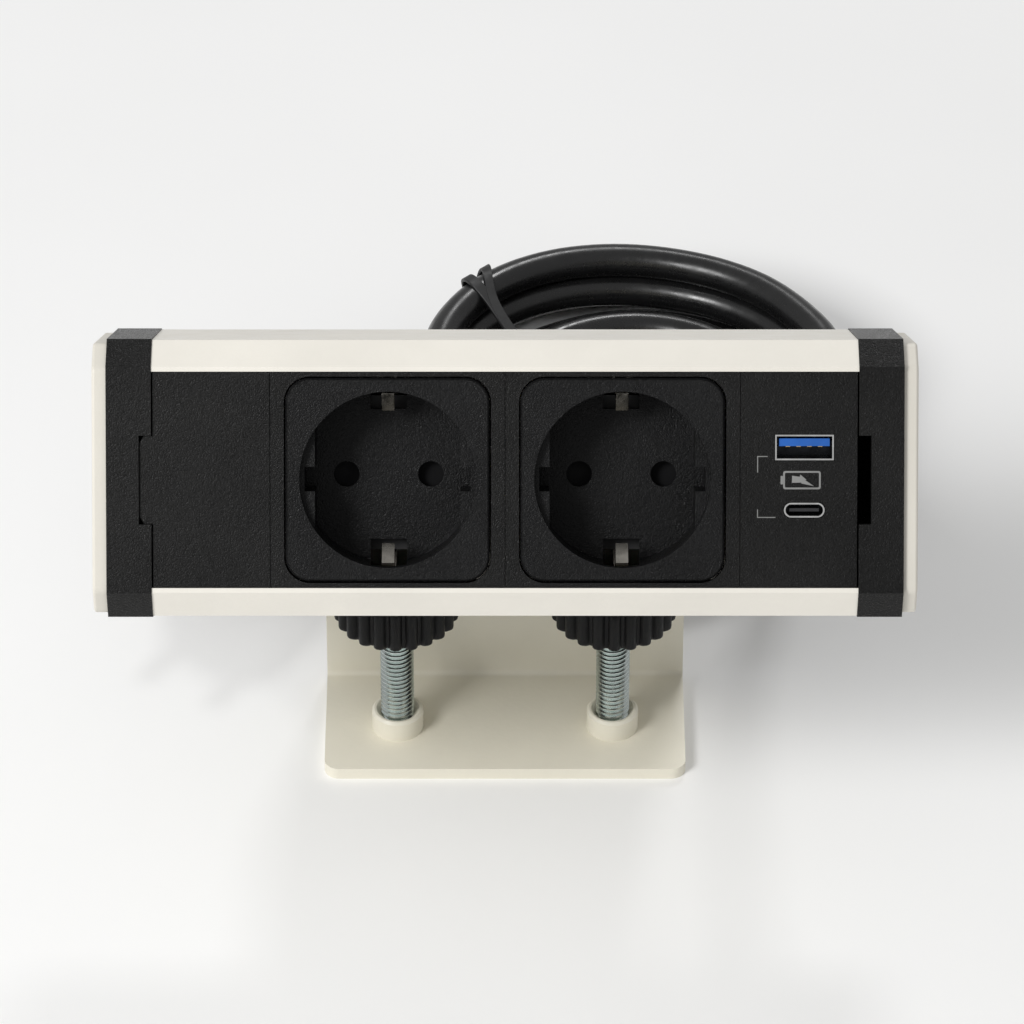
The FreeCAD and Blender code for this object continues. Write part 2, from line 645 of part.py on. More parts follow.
def thickened(line, half):
    """The closed outline of a strip of even thickness along an open line of points."""
    left, right = [], []
    for i, (y, z) in enumerate(line):
        before = line[max(i - 1, 0)]
        after = line[min(i + 1, len(line) - 1)]
        a = unit_normal(before, (y, z)) if i > 0 else unit_normal((y, z), after)
        b = unit_normal((y, z), after) if i < len(line) - 1 else a
        stretch = half / max(0.3, 1 + a[0] * b[0] + a[1] * b[1])
        offset = ((a[0] + b[0]) * stretch, (a[1] + b[1]) * stretch)
        left.append((y + offset[0], z + offset[1]))
        right.append((y - offset[0], z - offset[1]))
    return left + right[::-1]


def unit_normal(a, b):
    length = math.dist(a, b)
    return (-(b[1] - a[1]) / length, (b[0] - a[0]) / length)


def make_usb():
    """The charger module: its cover, the two outlets, their tongues and the circuit board."""
    cover = module_shell("UsbCover", "charger_x", "unit / 2")
    pocket(cover, "front", [centred("usb_x", "usb_a_z", "usb_a_width + 2 * shell_gap",
                                     "usb_a_height + 2 * shell_gap")],
           "face_depth - 1", "skin + 2")
    pocket(cover, "front", [centred("usb_x", "usb_c_z", "usb_c_width + 2 * shell_gap",
                                     "usb_c_height + 2 * shell_gap")],
           "face_depth - 1", "skin + 2")
    dress(cover, "Fillet", "usb_c_height / 2",
          lambda edge: along(edge, Vector(0, 1, 0)) and edge.Length < SIZE["skin"] + 0.1
          and abs(edge.CenterOfMass.z - SIZE["usb_c_z"]) < 3)
    place(cover, "usb_cover", HEAD)

    make_outlet("usb_a", "usb_a_width", "usb_a_height", "usb_a_z", None)
    make_outlet("usb_c", "usb_c_width", "usb_c_height", "usb_c_z", "usb_c_height / 2 - 0.01")

    tongue_a = new_body("TongueA")
    pad(tongue_a, "front", [centred("usb_x", "usb_a_z + tongue_a_rise", "usb_a_width - 1.8", "tongue_a")],
        "face_depth + 1", "shell_depth - 2.3")
    place(tongue_a, "usb_a_tongue", HEAD)
    pins = [block("Pin", "1", "8", "0.25", at(f"usb_x + {step} - 0.5", "face_depth + 2.4", "usb_a_z"))
            for step in (-3.6, -1.2, 1.2, 3.6)]
    place(group("PinsA", pins), "usb_a_contacts", HEAD)
    tongue_c = new_body("TongueC")
    pad(tongue_c, "front", [centred("usb_x", "usb_c_z", "tongue_c_width", "tongue_c")],
        "face_depth + 1.2", "shell_depth / 2 - 0.45")
    place(tongue_c, "usb_c_tongue", HEAD)

    board = new_body("Board")
    pad(board, "side", [rectangle("face_depth + 15.5", "middle - 21", "face_depth + 38", "middle + 21")],
        "charger_x - 6", "board_sheet")
    pad(board, "front", [centred("charger_x - 0.6", "middle + 1", "20", "34")],
        "face_depth + 15.5 - board_sheet", "board_sheet")
    place(board, "usb_circuit_board", HEAD)
    pieces = [
        block("Transformer", "9", "14", "16", at("charger_x - 4.3", "face_depth + 17", "middle - 18")),
        cylinder("Capacitor", "4", "11", at("charger_x", "face_depth + 24", "middle + 8")),
        cylinder("SmallCapacitor", "2.6", "7", at("charger_x - 1.6", "face_depth + 33", "middle + 8")),
        block("Coil", "6", "6", "6", at("charger_x - 4.3", "face_depth + 30", "middle - 4")),
    ]
    place(group("Components", pieces), "usb_components", HEAD)


def make_outlet(name, width, height, z, round_by):
    """An outlet's drawn metal shell, open at the front and closed at the back."""
    body = new_body("Shell")
    pad(body, "front", [centred("usb_x", z, width, height)], "face_depth + 0.15", "shell_depth")
    if round_by:
        dress(body, "Fillet", round_by, lambda edge: along(edge, Vector(0, 1, 0)))
        doc.recompute()
        pocket(body, "front", [centred("usb_x", z, f"{width} - 2 * shell_wall - {height} * 0.5",
                                       f"{height} - 2 * shell_wall")], "face_depth - 1", "shell_depth - 0.3")
        for side in (-1, 1):
            pocket(body, "front", [("circle", f"usb_x + {side} * ({width} - {height}) / 2", z,
                                    f"{height} / 2 - shell_wall")], "face_depth - 1", "shell_depth - 0.3")
    else:
        pocket(body, "front", [centred("usb_x", z, f"{width} - 2 * shell_wall",
                                       f"{height} - 2 * shell_wall")], "face_depth - 1", "shell_depth - 0.3")
    place(body, f"{name}_shell", HEAD)


# Clamp bracket


def make_bracket():
    """One folded sheet: lower plate, upright, flange and the leaf up the housing's back."""
    body = new_body("Bracket")
    rear_y = "(head_y + depth * cos(tilt * 1 deg))"
    rear_z = "(head_z - depth * sin(tilt * 1 deg))"

    def on_back(out, up):
        return (f"{rear_y} + ({out}) * cos(tilt * 1 deg) + ({up}) * sin(tilt * 1 deg)",
                f"{rear_z} - ({out}) * sin(tilt * 1 deg) + ({up}) * cos(tilt * 1 deg)")

    back_line = f"{rear_y} + (bracket_top - {rear_z}) * tan(tilt * 1 deg)"
    crease = f"{back_line} + leaf_gap / cos(tilt * 1 deg)"
    inner = f"{back_line} + (sheet + leaf_gap) / cos(tilt * 1 deg)"
    outline = [
        ("bracket_front", "0"), ("bracket_back", "0"), ("bracket_back", "bracket_top"),
        (inner, "bracket_top"), on_back("sheet + leaf_gap", "leaf_start + leaf_length"),
        on_back("leaf_gap", "leaf_start + leaf_length"),
        (f"{crease} - sheet * tan(tilt * 1 deg)", "bracket_top - sheet"),
        ("bracket_back - sheet", "bracket_top - sheet"), ("bracket_back - sheet", "sheet"),
        ("bracket_front", "sheet"),
    ]
    pad(body, "side", [outline], "-bracket_width / 2", "bracket_width")
    for side in (-1, 1):
        hole = ("circle", f"{side} * screw_x", "screw_y", "collar_radius - collar_tail + 0.05")
        pocket(body, "top", [hole], "-1", "sheet + 2")
    back = SIZE["bracket_back"]
    top = SIZE["bracket_top"]
    dress(body, "Fillet", "outer_bend", lambda edge: along(edge, Vector(1, 0, 0), 50)
          and abs(edge.CenterOfMass.y - back) < 0.01)
    dress(body, "Fillet", "inner_bend", lambda edge: along(edge, Vector(1, 0, 0), 50)
          and abs(edge.CenterOfMass.y - back + SIZE["sheet"]) < 0.01)
    dress(body, "Fillet", "inner_bend + 1", lambda edge: along(edge, Vector(1, 0, 0), 50)
          and edge.CenterOfMass.y < 0 and abs(edge.CenterOfMass.z - top + SIZE["sheet"]) < 0.01)
    dress(body, "Fillet", "plate_corners", lambda edge: edge.Length < SIZE["sheet"] + 0.1
          and (edge.CenterOfMass.y < SIZE["bracket_front"] + 0.01 and edge.CenterOfMass.z < SIZE["sheet"]
               or edge.CenterOfMass.z > top + 30)
          and abs(abs(edge.CenterOfMass.x) - SIZE["bracket_width"] / 2) < 0.01)
    make_leaf_holes(body)
    place(body, "clamp_bracket")


def make_bracket_screws():
    """Button-head screws through the leaf into nuts in the rear slots."""
    screws, nuts = [], []
    for side in (-1, 1):
        for up in ("slot_low", "slot_high"):
            centre = f"{side} * leaf_screw_x"
            shank = cylinder("Shank", "leaf_screw", "6.6", at(centre, "depth - 3.5", up, (1, 0, 0), "-90"))
            head = cone("Head", "leaf_head", "leaf_head_top", "leaf_head_height",
                        at(centre, "depth + sheet + 0.1", up, (1, 0, 0), "-90"))
            hexagon = doc.addObject("Part::Prism", "Hexagon")
            tie(hexagon, Circumradius="1.45", Height="3",
                Placement=at(centre, "depth + sheet + 1.1", up, (1, 0, 0), "-90"))
            screws.append(cut("Screw", fuse("Blank", [shank, head]), hexagon))
            plate = block("Plate", "9", "2.5", "slot_width - 0.4",
                          at(f"{centre} - 4.5", "depth - slot_depth + 0.2", f"{up} - slot_width / 2 + 0.2"))
            bore = cylinder("Bore", "leaf_screw + 0.05", "8", at(centre, "depth - 8", up, (1, 0, 0), "-90"))
            nuts.append(cut("Nut", plate, bore))
    place(group("BracketScrews", screws), "bracket_screws", HEAD)
    place(group("SlotNuts", nuts), "slot_nuts", HEAD)


def make_leaf_holes(bracket):
    """The four screw holes through the bracket's leaf, square to it."""
    for side in (-1, 1):
        for up in ("slot_low", "slot_high"):
            sketch = bracket.newObject("Sketcher::SketchObject", "Sketch")
            support = [item for item in bracket.Origin.OriginFeatures if item.Role == "XZ_Plane"][0]
            sketch.AttachmentSupport = [(support, "")]
            sketch.MapMode = "FlatFace"
            y = f"(head_y + (depth - 2) * cos(tilt * 1 deg) + {up} * sin(tilt * 1 deg))"
            z = f"(head_z - (depth - 2) * sin(tilt * 1 deg) + {up} * cos(tilt * 1 deg))"
            sketch.setExpression("AttachmentOffset", bound(
                f"create(<<placement>>; create(<<vector>>; 0; {z}; -{y});"
                f" create(<<rotation>>; create(<<vector>>; 1; 0; 0); -tilt))"))
            add_circle(sketch, f"{side} * leaf_screw_x", "0", "leaf_hole")
            hole = bracket.newObject("PartDesign::Pocket", "Pocket")
            hole.Profile = sketch
            hole.Length = 9
            hole.Reversed = False
            bracket.Tip = hole


def make_collar(side, name):
    """A threaded collar riveted through the lower plate."""
    body = new_body("Collar")
    inner = "stud_radius + thread_clearance"
    tail = "collar_radius - collar_tail"
    revolve(body, [(inner, "0.2"), (tail, "0.2"), (tail, "sheet"),
                   ("collar_radius", "sheet"), ("collar_radius", "collar_top - 0.6"),
                   ("collar_radius - 0.6", "collar_top"), (f"{inner} + collar_sink", "collar_top"),
                   (inner, "collar_top - collar_sink")])
    place(body, f"threaded_collar_{name}", at(f"{side} * screw_x", "screw_y", "0"))


def make_stud(side, name):
    body = new_body("Stud")
    top = "knob_low + knob_height - 2"
    revolve(body, [("0", "stud_low"), ("stud_radius - 0.8", "stud_low"), ("stud_radius", "stud_low + 0.8"),
                   ("stud_radius", top), ("0", top)])
    place(body, f"clamp_stud_{name}", at(f"{side} * screw_x", "screw_y", "0"))


def make_knob(side, name):
    """A ribbed hand knob, bored for the stud, with a ball seat's stem on top."""
    body = new_body("Knob")
    low = "knob_low"
    top = "knob_low + knob_height"
    core = "knob_radius - 1"
    revolve(body, [("stud_radius", low), (f"{core} - 1.2", low), (core, f"{low} + 1.2"),
                   (core, f"{top} - 2"), (f"{core} - 2", top), ("seat_radius", top),
                   ("seat_radius", f"{top} + seat_height"), ("0", f"{top} + seat_height"),
                   ("0", f"{top} - 2"), ("stud_radius", f"{top} - 2")])
    rib = pad(body, "top", [("circle", "knob_radius - knob_rib", "0", "knob_rib")],
              f"{low} + 0.7", "knob_height - 2.4")
    repeat(body, rib, "Z_Axis", "knob_ribs")
    place(body, f"clamp_knob_{name}", at(f"{side} * screw_x", "screw_y", "0"))


def make_swivel_pad(side, name):
    """The pad that bears on the desk while the knob turns under it."""
    body = new_body("SwivelPad")
    low = "knob_low + knob_height + 0.4"
    top = f"{low} + pad_thickness"
    seat = "seat_radius + thread_clearance"
    revolve(body, [(seat, low), ("pad_radius - 0.8", low), ("pad_radius", f"{low} + 0.8"),
                   ("pad_radius", f"{top} - 0.5"), ("pad_radius - 0.5", top), ("0", top),
                   ("0", f"{low} + seat_height + 0.1"), (seat, f"{low} + seat_height + 0.1")])
    place(body, f"swivel_pad_{name}", at(f"{side} * screw_x", "screw_y", "0"))


def make_lining():
    """The rubber lining under the flange."""
    item = block("Lining", "bracket_width - 2 * lining_inset", "lining_width", "lining",
                 at("-(bracket_width / 2) + lining_inset", "bracket_back - 2 * sheet - lining_width",
                    "bracket_top - sheet - lining"))
    place(item, "desk_lining")


# Mains lead


def make_gland():
    """The gland at the back: threaded body, its nut inside the housing and the dome."""
    flat = doc.addObject("Part::Prism", "Hexagon")
    tie(flat, Circumradius="gland_hexagon", Height="gland_flat",
        Placement=at("gland_x", "depth + 0.05", "middle", (1, 0, 0), "-90"))
    thread = cylinder("Thread", "gland_thread", "8", at("gland_x", "depth - 6", "middle", (1, 0, 0), "-90"))
    neck = cylinder("Neck", "gland_neck", "3",
                    at("gland_x", "depth + gland_flat", "middle", (1, 0, 0), "-90"))
    bore = cylinder("Bore", "cord_radius + 0.6", "20", at("gland_x", "depth - 8", "middle", (1, 0, 0), "-90"))
    place(cut("GlandBody", fuse("GlandBlank", [flat, thread, neck]), bore), "gland_body", HEAD)
    nut = doc.addObject("Part::Prism", "NutHexagon")
    tie(nut, Circumradius="nut_hexagon", Height="nut_height",
        Placement=at("gland_x", "depth - wall - nut_height - 0.2", "middle", (1, 0, 0), "-90"))
    nut_bore = cylinder("NutBore", "gland_thread + 0.05", "6",
                        at("gland_x", "depth - wall - 5", "middle", (1, 0, 0), "-90"))
    place(cut("GlandNut", nut, nut_bore), "gland_locknut", HEAD)
    dome = new_body("Dome")
    revolve(dome, [("cord_radius + 0.3", "0"), ("dome_radius", "0"), ("dome_radius", "dome_length - 4.6"),
                   ("dome_radius - 1.2", "dome_length - 1.2"), ("dome_radius - 2.4", "dome_length"),
                   ("cord_radius + 0.3", "dome_length")])
    place(dome, "gland_dome", dome_place("depth + 8.1"))
    boot = new_body("Boot")
    revolve(boot, [("0", "0"), ("boot_low", "0"), ("boot_high", "boot_length"), ("0", "boot_length")])
    place(boot, "cord_boot", dome_place("depth + 17.75"))


def dome_place(out):
    """The placement of a turned piece whose axis leaves the housing's back."""
    y = f"head_y + ({out}) * cos(tilt * 1 deg) + middle * sin(tilt * 1 deg)"
    z = f"head_z - ({out}) * sin(tilt * 1 deg) + middle * cos(tilt * 1 deg)"
    return at("gland_x", y, z, (1, 0, 0), "-90 - tilt")


def tube(route, radius):
    """A tube along straight runs joined by tangent arcs, and the arcs' radii."""
    points = [Vector(*point) for point in route]
    edges, radii, start = [], [], points[0]
    for before, corner, after in zip(points, points[1:], points[2:]):
        run_in, run_out = corner - before, after - corner
        turn = run_in.getAngle(run_out)
        reach = 0.45 * min(run_in.Length, run_out.Length)
        a = corner - run_in.normalize() * reach
        b = corner + run_out.normalize() * reach
        bend = reach / math.tan(turn / 2)
        radii.append(round(bend, 1))
        middle = (a + b) * 0.5
        inward = (middle - corner).normalize()
        centre_gap = math.hypot(bend, reach)
        crown = corner + inward * (centre_gap - bend)
        edges.append(Part.LineSegment(start, a).toShape())
        edges.append(Part.Arc(a, crown, b).toShape())
        start = b
    edges.append(Part.LineSegment(start, points[-1]).toShape())
    path = Part.Wire(edges)
    ring = Part.Wire([Part.Circle(points[0], points[1] - points[0], radius).toShape()])
    solid = path.makePipeShell([ring], True, False)
    exact = math.pi * radius ** 2 * path.Length
    if abs(solid.Volume / exact - 1) > 0.01:
        raise ValueError(f"tube volume {solid.Volume:.0f} is not {exact:.0f}")
    return solid, radii, path.Length


def make_cord():
    """The lead from the gland to the coil, the coil, and the tail to the plug."""
    for name, route in (("cord_lead", LEAD_ROUTE), ("cord_tail", TAIL_ROUTE)):
        solid, radii, length = tube(route, SIZE["cord_radius"])
        print(name, "length", round(length, 1), "radii", radii)
        shaped("Tube", name, solid)
    coil = new_body("Coil")
    revolve(coil, coil_section("0", "0"))
    place(coil, "cord_coil", at("coil_x", "coil_y", "0"))
    strap = new_body("Tie")
    pad(strap, "front", [coil_section("tie_sheet", "0"), coil_section("0.1", "tie_sheet")],
        "-tie_width / 2", "tie_width")
    place(strap, "cord_tie", at("coil_x", "coil_y", "0", (0, 0, 1), "tie_angle"))


def coil_section(grow, low):
    """The outline of the coil's turns in section, as (radius, height), grown and cut off at low."""
    top = f"6 * cord_radius + {grow}"
    step = f"4.1 * cord_radius + {grow}"
    return [
        (f"coil_inner + 2 - {grow}", low), (f"coil_outer - 3 + {grow}", low),
        (f"coil_outer + {grow}", "cord_radius"), (f"coil_outer - 3 + {grow}", "2 * cord_radius"),
        (f"coil_shoulder + {grow}", "3 * cord_radius"), (f"coil_shoulder + {grow}", "5 * cord_radius"),
        (f"coil_shoulder - 3 + {grow}", top), (f"coil_shoulder - 9", top),
        (f"coil_inner + 4", step), (f"coil_inner - {grow}", "3 * cord_radius"),
    ]


def plug_place(back="0"):
    """The plug's own frame: its Z axis runs from the plug's face back to the lead."""
    slope = "atan((plug_face_radius - plug_rear_radius) / (plug_length - plug_rim - 2))"
    height = f"((plug_face_radius + plug_rim * tan({slope})) * cos({slope}))"
    level = f"({back}) * cos({slope})"
    x = f"plug_x + {level} * cos(plug_turn * 1 deg)"
    y = f"plug_y + {level} * sin(plug_turn * 1 deg)"
    z = f"{height} - ({back}) * sin({slope})"
    return (f"create(<<placement>>; create(<<vector>>; {x}; {y}; {z});"
            f" create(<<rotation>>; create(<<vector>>; 0; 0; 1); plug_turn * 1 deg)"
            f" * create(<<rotation>>; create(<<vector>>; 0; 1; 0); 90 deg + {slope}))")


def make_plug():
    """The straight earthed plug: body, pins, side contacts and strain relief."""
    body = new_body("PlugBody")
    face, rear, length = "plug_face_radius", "plug_rear_radius", "plug_length"
    revolve(body, [("0", "0"), (f"{face} - 1", "0"), (face, "1"), (face, "plug_rim"),
                   (f"{rear} + 0.6", "plug_waist"), (rear, f"{length} - 2"), (f"{rear} - 2", length),
                   ("0", length)])
    flat, rib = "shelf_reach - guide_gap", "notch_reach - guide_gap"
    half, edge = "notch_height / 2 - guide_gap", f"{face} + 1"
    for side in (-1, 1):
        guides = [("-plug_rim", flat), (f"-({half})", flat), (f"-({half})", rib), (half, rib), (half, flat),
                  ("plug_rim", flat), ("plug_rim", edge), ("-plug_rim", edge)]
        pocket(body, "top", [[(x, f"{side} * ({y})") for x, y in guides]], "-1",
               "well_depth - shelf_depth + 0.8")
        x_low = f"{face} - 1.7" if side > 0 else f"-{face} - 1"
        pocket(body, "top", [rectangle(x_low, "-plug_slot / 2", f"{x_low} + 2.7", "plug_slot / 2")],
               "-1", "well_depth")
    place(body, "plug_body", plug_place())
    pins = []
    for side in (-1, 1):
        shank = cylinder("Shank", "pin_radius", "pin_length - 1.2",
                         at("0", f"{side} * pin_pitch / 2", "-pin_length + 1.2"))
        tip = cone("Tip", "pin_radius - 0.9", "pin_radius", "1.2",
                   at("0", f"{side} * pin_pitch / 2", "-pin_length"))
        pins.append(fuse("Pin", [shank, tip]))
    place(group("PlugPins", pins), "plug_pins", plug_place())
    clips = []
    for side in (-1, 1):
        inner = "plug_face_radius - 1.65" if side > 0 else "-plug_face_radius + 1.65 - plug_clip"
        clips.append(block("Clip", "plug_clip", "plug_clip_width", "plug_rim",
                           at(inner, "-plug_clip_width / 2", "0.6")))
    place(group("PlugClips", clips), "plug_earth_clips", plug_place())
    boot = new_body("PlugBoot")
    revolve(boot, [("0", "0.05"), ("plug_boot_low", "0.05"), ("plug_boot_high", "plug_boot_length"),
                   ("0", "plug_boot_length")])
    place(boot, "plug_boot", plug_place("plug_length"))


def make_wires():
    """The three cores from the gland past the back of both socket bases, in the housing's frame."""
    gland_x, middle, depth = SIZE["gland_x"], SIZE["middle"], SIZE["depth"]
    behind = SIZE["base_front"] + SIZE["base_depth"] + 4
    for step, name in ((-1, "live"), (0, "earth"), (1, "neutral")):
        apart = 5.5 * step
        route = [(-38, behind, middle + apart), (38, behind, middle + apart),
                 (gland_x - 12, behind - 0.6, middle + 0.7 * apart),
                 (gland_x - 4, behind + 2, middle + 0.36 * apart),
                 (gland_x, depth - 1, middle + 0.34 * apart)]
        solid, _, _ = tube(route, SIZE["core_radius"])
        item = shaped("Wire", f"wire_{name}", solid)
        item.setExpression("Placement", bound(HEAD))


def check(objects):
    """Stops the build if an object failed, a pocket cut nothing or a sub-part is not solid."""
    for item in objects:
        if "Invalid" in item.State or "Error" in item.State:
            raise ValueError(f"{item.Name} ({item.Label}) is {item.State}")
        if item.TypeId in ("PartDesign::Pocket", "PartDesign::Groove"):
            if item.Shape.Volume >= item.BaseFeature.Shape.Volume - 1e-6:
                raise ValueError(f"{item.Name} in {item.getParentGeoFeatureGroup().Label} cuts nothing")
    for item in sub_parts:
        if item.Shape.isNull() or not item.Shape.isValid() or not item.Shape.Solids:
            raise ValueError(f"{item.Label} has no valid solid")


def main():
    make_sheet()
    make_profile()
    make_end(-1, "left")
    make_end(1, "right")
    make_blank()
    for x, name in (("(-unit / 2)", "left"), ("(unit / 2)", "right")):
        make_socket_frame(x, name)
        make_socket_insert(x, name)
        make_socket_base(x, name)
        make_shutter(x, name)
        make_shutter_spring(x, name)
        make_contacts(x, name)
        make_earth_clip(x, name)
    make_usb()
    make_bracket()
    make_bracket_screws()
    make_lining()
    for side, name in ((-1, "left"), (1, "right")):
        make_collar(side, name)
        make_stud(side, name)
        make_knob(side, name)
        make_swivel_pad(side, name)
    make_gland()
    make_wires()
    make_cord()
    make_plug()
    doc.recompute()
    check(doc.Objects)
    os.makedirs("parts", exist_ok=True)
    for item in sub_parts:
        item.Shape.exportStep(f"parts/{item.Label}.step")
        print(f"{item.Label:24s} {len(item.Shape.Solids)} solid(s) {item.Shape.Volume:9.0f} mm3")


main()
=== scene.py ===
"""Desk power strip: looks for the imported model, with its mains lead, studio and camera."""
import json
import math

import bmesh
import bpy
from mathutils import Matrix, Vector


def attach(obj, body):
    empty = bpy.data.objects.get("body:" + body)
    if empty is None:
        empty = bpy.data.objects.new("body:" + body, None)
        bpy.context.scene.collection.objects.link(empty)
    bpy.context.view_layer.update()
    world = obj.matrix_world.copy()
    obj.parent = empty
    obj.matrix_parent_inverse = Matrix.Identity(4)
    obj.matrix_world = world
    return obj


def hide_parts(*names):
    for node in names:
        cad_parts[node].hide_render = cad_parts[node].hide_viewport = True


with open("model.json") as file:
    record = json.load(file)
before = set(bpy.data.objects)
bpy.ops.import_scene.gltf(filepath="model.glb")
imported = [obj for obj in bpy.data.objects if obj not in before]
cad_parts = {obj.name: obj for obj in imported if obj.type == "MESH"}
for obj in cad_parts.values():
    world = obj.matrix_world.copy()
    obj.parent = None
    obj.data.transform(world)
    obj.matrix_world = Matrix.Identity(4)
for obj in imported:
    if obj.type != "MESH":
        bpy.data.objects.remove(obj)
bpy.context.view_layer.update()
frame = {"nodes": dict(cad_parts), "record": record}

MM = 0.001
TILT = math.radians(33)
SIDES = ("left", "right")

# The housing's own frame: X along it, depth into it, height up its front face.
HEAD_Y, HEAD_Z = -46.02, 89.2
DEEP = Vector((0, math.cos(TILT), -math.sin(TILT)))
UP = Vector((0, math.sin(TILT), math.cos(TILT)))
HEAD = Matrix(((1, 0, 0, 0), (0, DEEP.y, UP.y, HEAD_Y * MM), (0, DEEP.z, UP.z, HEAD_Z * MM), (0, 0, 0, 1)))


# Shaders

# Nearly all of a noise texture's values lie between these two.
NOISE_LOW, NOISE_HIGH = 0.3, 0.7


def material(name, metallic=0.0, roughness=0.5, **sockets):
    """A Principled material, with its constant values on the shader's own sockets."""
    made = bpy.data.materials.new(name)
    made.use_nodes = True
    shader = made.node_tree.nodes["Principled BSDF"]
    shader.inputs["Metallic"].default_value = metallic
    shader.inputs["Roughness"].default_value = roughness
    for socket, value in sockets.items():
        shader.inputs[socket.replace("_", " ")].default_value = value
    return made


def noise(mat, scale, detail=3.0, roughness=0.5, stretch=(1, 1, 1)):
    """A noise texture in the object's own coordinates, in metres."""
    nodes, links = mat.node_tree.nodes, mat.node_tree.links
    place = nodes.new("ShaderNodeTexCoord")
    mapping = nodes.new("ShaderNodeMapping")
    mapping.inputs["Scale"].default_value = stretch
    texture = nodes.new("ShaderNodeTexNoise")
    for socket, value in (("Scale", scale), ("Detail", detail), ("Roughness", roughness)):
        texture.inputs[socket].default_value = value
    links.new(place.outputs["Object"], mapping.inputs["Vector"])
    links.new(mapping.outputs["Vector"], texture.inputs["Vector"])
    return texture.outputs["Fac"]


def ramp(mat, value, stops):
    """A colour ramp over a texture's value, from (position, colour) stops."""
    node = mat.node_tree.nodes.new("ShaderNodeValToRGB")
    mat.node_tree.links.new(value, node.inputs["Fac"])
    for element, (position, colour) in zip(node.color_ramp.elements, stops, strict=True):
        element.position = position
        element.color = (*colour, 1)
    return node.outputs["Color"]


def between(mat, value, low, high):
    """Maps a texture's middle range to low..high."""
    node = mat.node_tree.nodes.new("ShaderNodeMapRange")
    limits = {"From Min": NOISE_LOW, "From Max": NOISE_HIGH, "To Min": low, "To Max": high}
    for socket, number in limits.items():
        node.inputs[socket].default_value = number
    mat.node_tree.links.new(value, node.inputs["Value"])
    return node.outputs["Result"]


def feed(mat, output, socket):
    """Links a node's output to one of the Principled shader's sockets."""
    mat.node_tree.links.new(output, mat.node_tree.nodes["Principled BSDF"].inputs[socket])


def bump(mat, layers):
    """Stacked bumps, each (height output, depth in metres, strength)."""
    normal = None
    for height, depth, strength in layers:
        node = mat.node_tree.nodes.new("ShaderNodeBump")
        node.inputs["Distance"].default_value = depth
        node.inputs["Strength"].default_value = strength
        mat.node_tree.links.new(height, node.inputs["Height"])
        if normal is not None:
            mat.node_tree.links.new(normal, node.inputs["Normal"])
        normal = node.outputs["Normal"]
    feed(mat, normal, "Normal")


def mottle(mat, colour, spread, clouds, limits=(NOISE_LOW, NOISE_HIGH)):
    """Lets the base colour vary in clouds by a share of itself, darker and lighter."""
    dark = tuple(c * (1 - spread) for c in colour)
    light = tuple(min(1.0, c * (1 + spread)) for c in colour)
    feed(mat, ramp(mat, clouds, list(zip(limits, (dark, light)))), "Base Color")


def grained_plastic(name, colour, rough, grain, depth, speck=0.25):
    """Spark-eroded plastic: a fine even grain, roughness that varies by speck, and faint cloudiness."""
    mat = material(name, roughness=rough, Specular_IOR_Level=0.18)
    mottle(mat, colour, 0.22, noise(mat, 60, detail=4), limits=(0.35, 0.65))
    fine = noise(mat, grain, detail=2, roughness=0.6)
    coarse = noise(mat, grain * 0.35, detail=2)
    feed(mat, between(mat, fine, rough - speck / 2, rough + speck / 2), "Roughness")
    bump(mat, [(fine, depth, 1.0), (coarse, depth, 0.5)])
    return mat


def powder_coat(name, colour, rough=0.42, peel=900):
    """Powder coat: a slight orange peel, faint dust in the colour."""
    mat = material(name, roughness=rough, Specular_IOR_Level=0.5)
    mottle(mat, colour, 0.035, noise(mat, 35, detail=5, roughness=0.6))
    feed(mat, between(mat, noise(mat, 160, detail=3), rough - 0.06, rough + 0.08), "Roughness")
    bump(mat, [(noise(mat, peel, detail=2, roughness=0.4), 0.00006, 0.55)])
    return mat


def streak(mat, rough, scale=400, stretch=(1, 1, 1), depth=0.00002):
    """Fine streaks in a metal's roughness and surface."""
    lines = noise(mat, scale, detail=3, roughness=0.6, stretch=stretch)
    feed(mat, between(mat, lines, rough - 0.08, rough + 0.12), "Roughness")
    bump(mat, [(lines, depth, 0.6)])


def metal(name, colour, rough, **streaks):
    """Plated or brushed metal with fine streaks and uneven roughness."""
    mat = material(name, metallic=1.0, roughness=rough)
    mottle(mat, colour, 0.12, noise(mat, 90, detail=4))
    streak(mat, rough, **streaks)
    return mat


def outlet_metal_with_painted_shade(name):
    """Nickel plate with painted shade: its colour darkens inside the outlets, where little light gets in."""
    rough = 0.24
    # dark is painted shade deep in the outlets, not a colour of the nickel.
    bright, dark = (0.75, 0.75, 0.74), (0.03, 0.032, 0.035)
    painted_shade_start, painted_shade_end = 0.0008, 0.0021
    mat = material(name, metallic=1.0, roughness=rough)
    streak(mat, rough)
    nodes, links = mat.node_tree.nodes, mat.node_tree.links
    place = nodes.new("ShaderNodeTexCoord")
    inward = nodes.new("ShaderNodeVectorMath")
    inward.operation = "DOT_PRODUCT"
    inward.inputs[1].default_value = DEEP
    links.new(place.outputs["Object"], inward.inputs[0])
    depth = nodes.new("ShaderNodeMapRange")
    front = Vector((0, HEAD_Y, HEAD_Z)).dot(DEEP) * MM
    depth.inputs["From Min"].default_value = front + painted_shade_start
    depth.inputs["From Max"].default_value = front + painted_shade_end
    links.new(inward.outputs["Value"], depth.inputs["Value"])
    # Painted shade: the base colour fades from bright to dark with depth into the outlet.
    feed(mat, ramp(mat, depth.outputs["Result"], [(0, bright), (1, dark)]), "Base Color")
    return mat


def scuff(mat, rough, scale=350, depth=0.00002):
    """Faint scuffs in a plastic's roughness and surface."""
    marks = noise(mat, scale, detail=4, roughness=0.65)
    feed(mat, between(mat, marks, rough - 0.07, rough + 0.1), "Roughness")
    bump(mat, [(marks, depth, 0.5)])


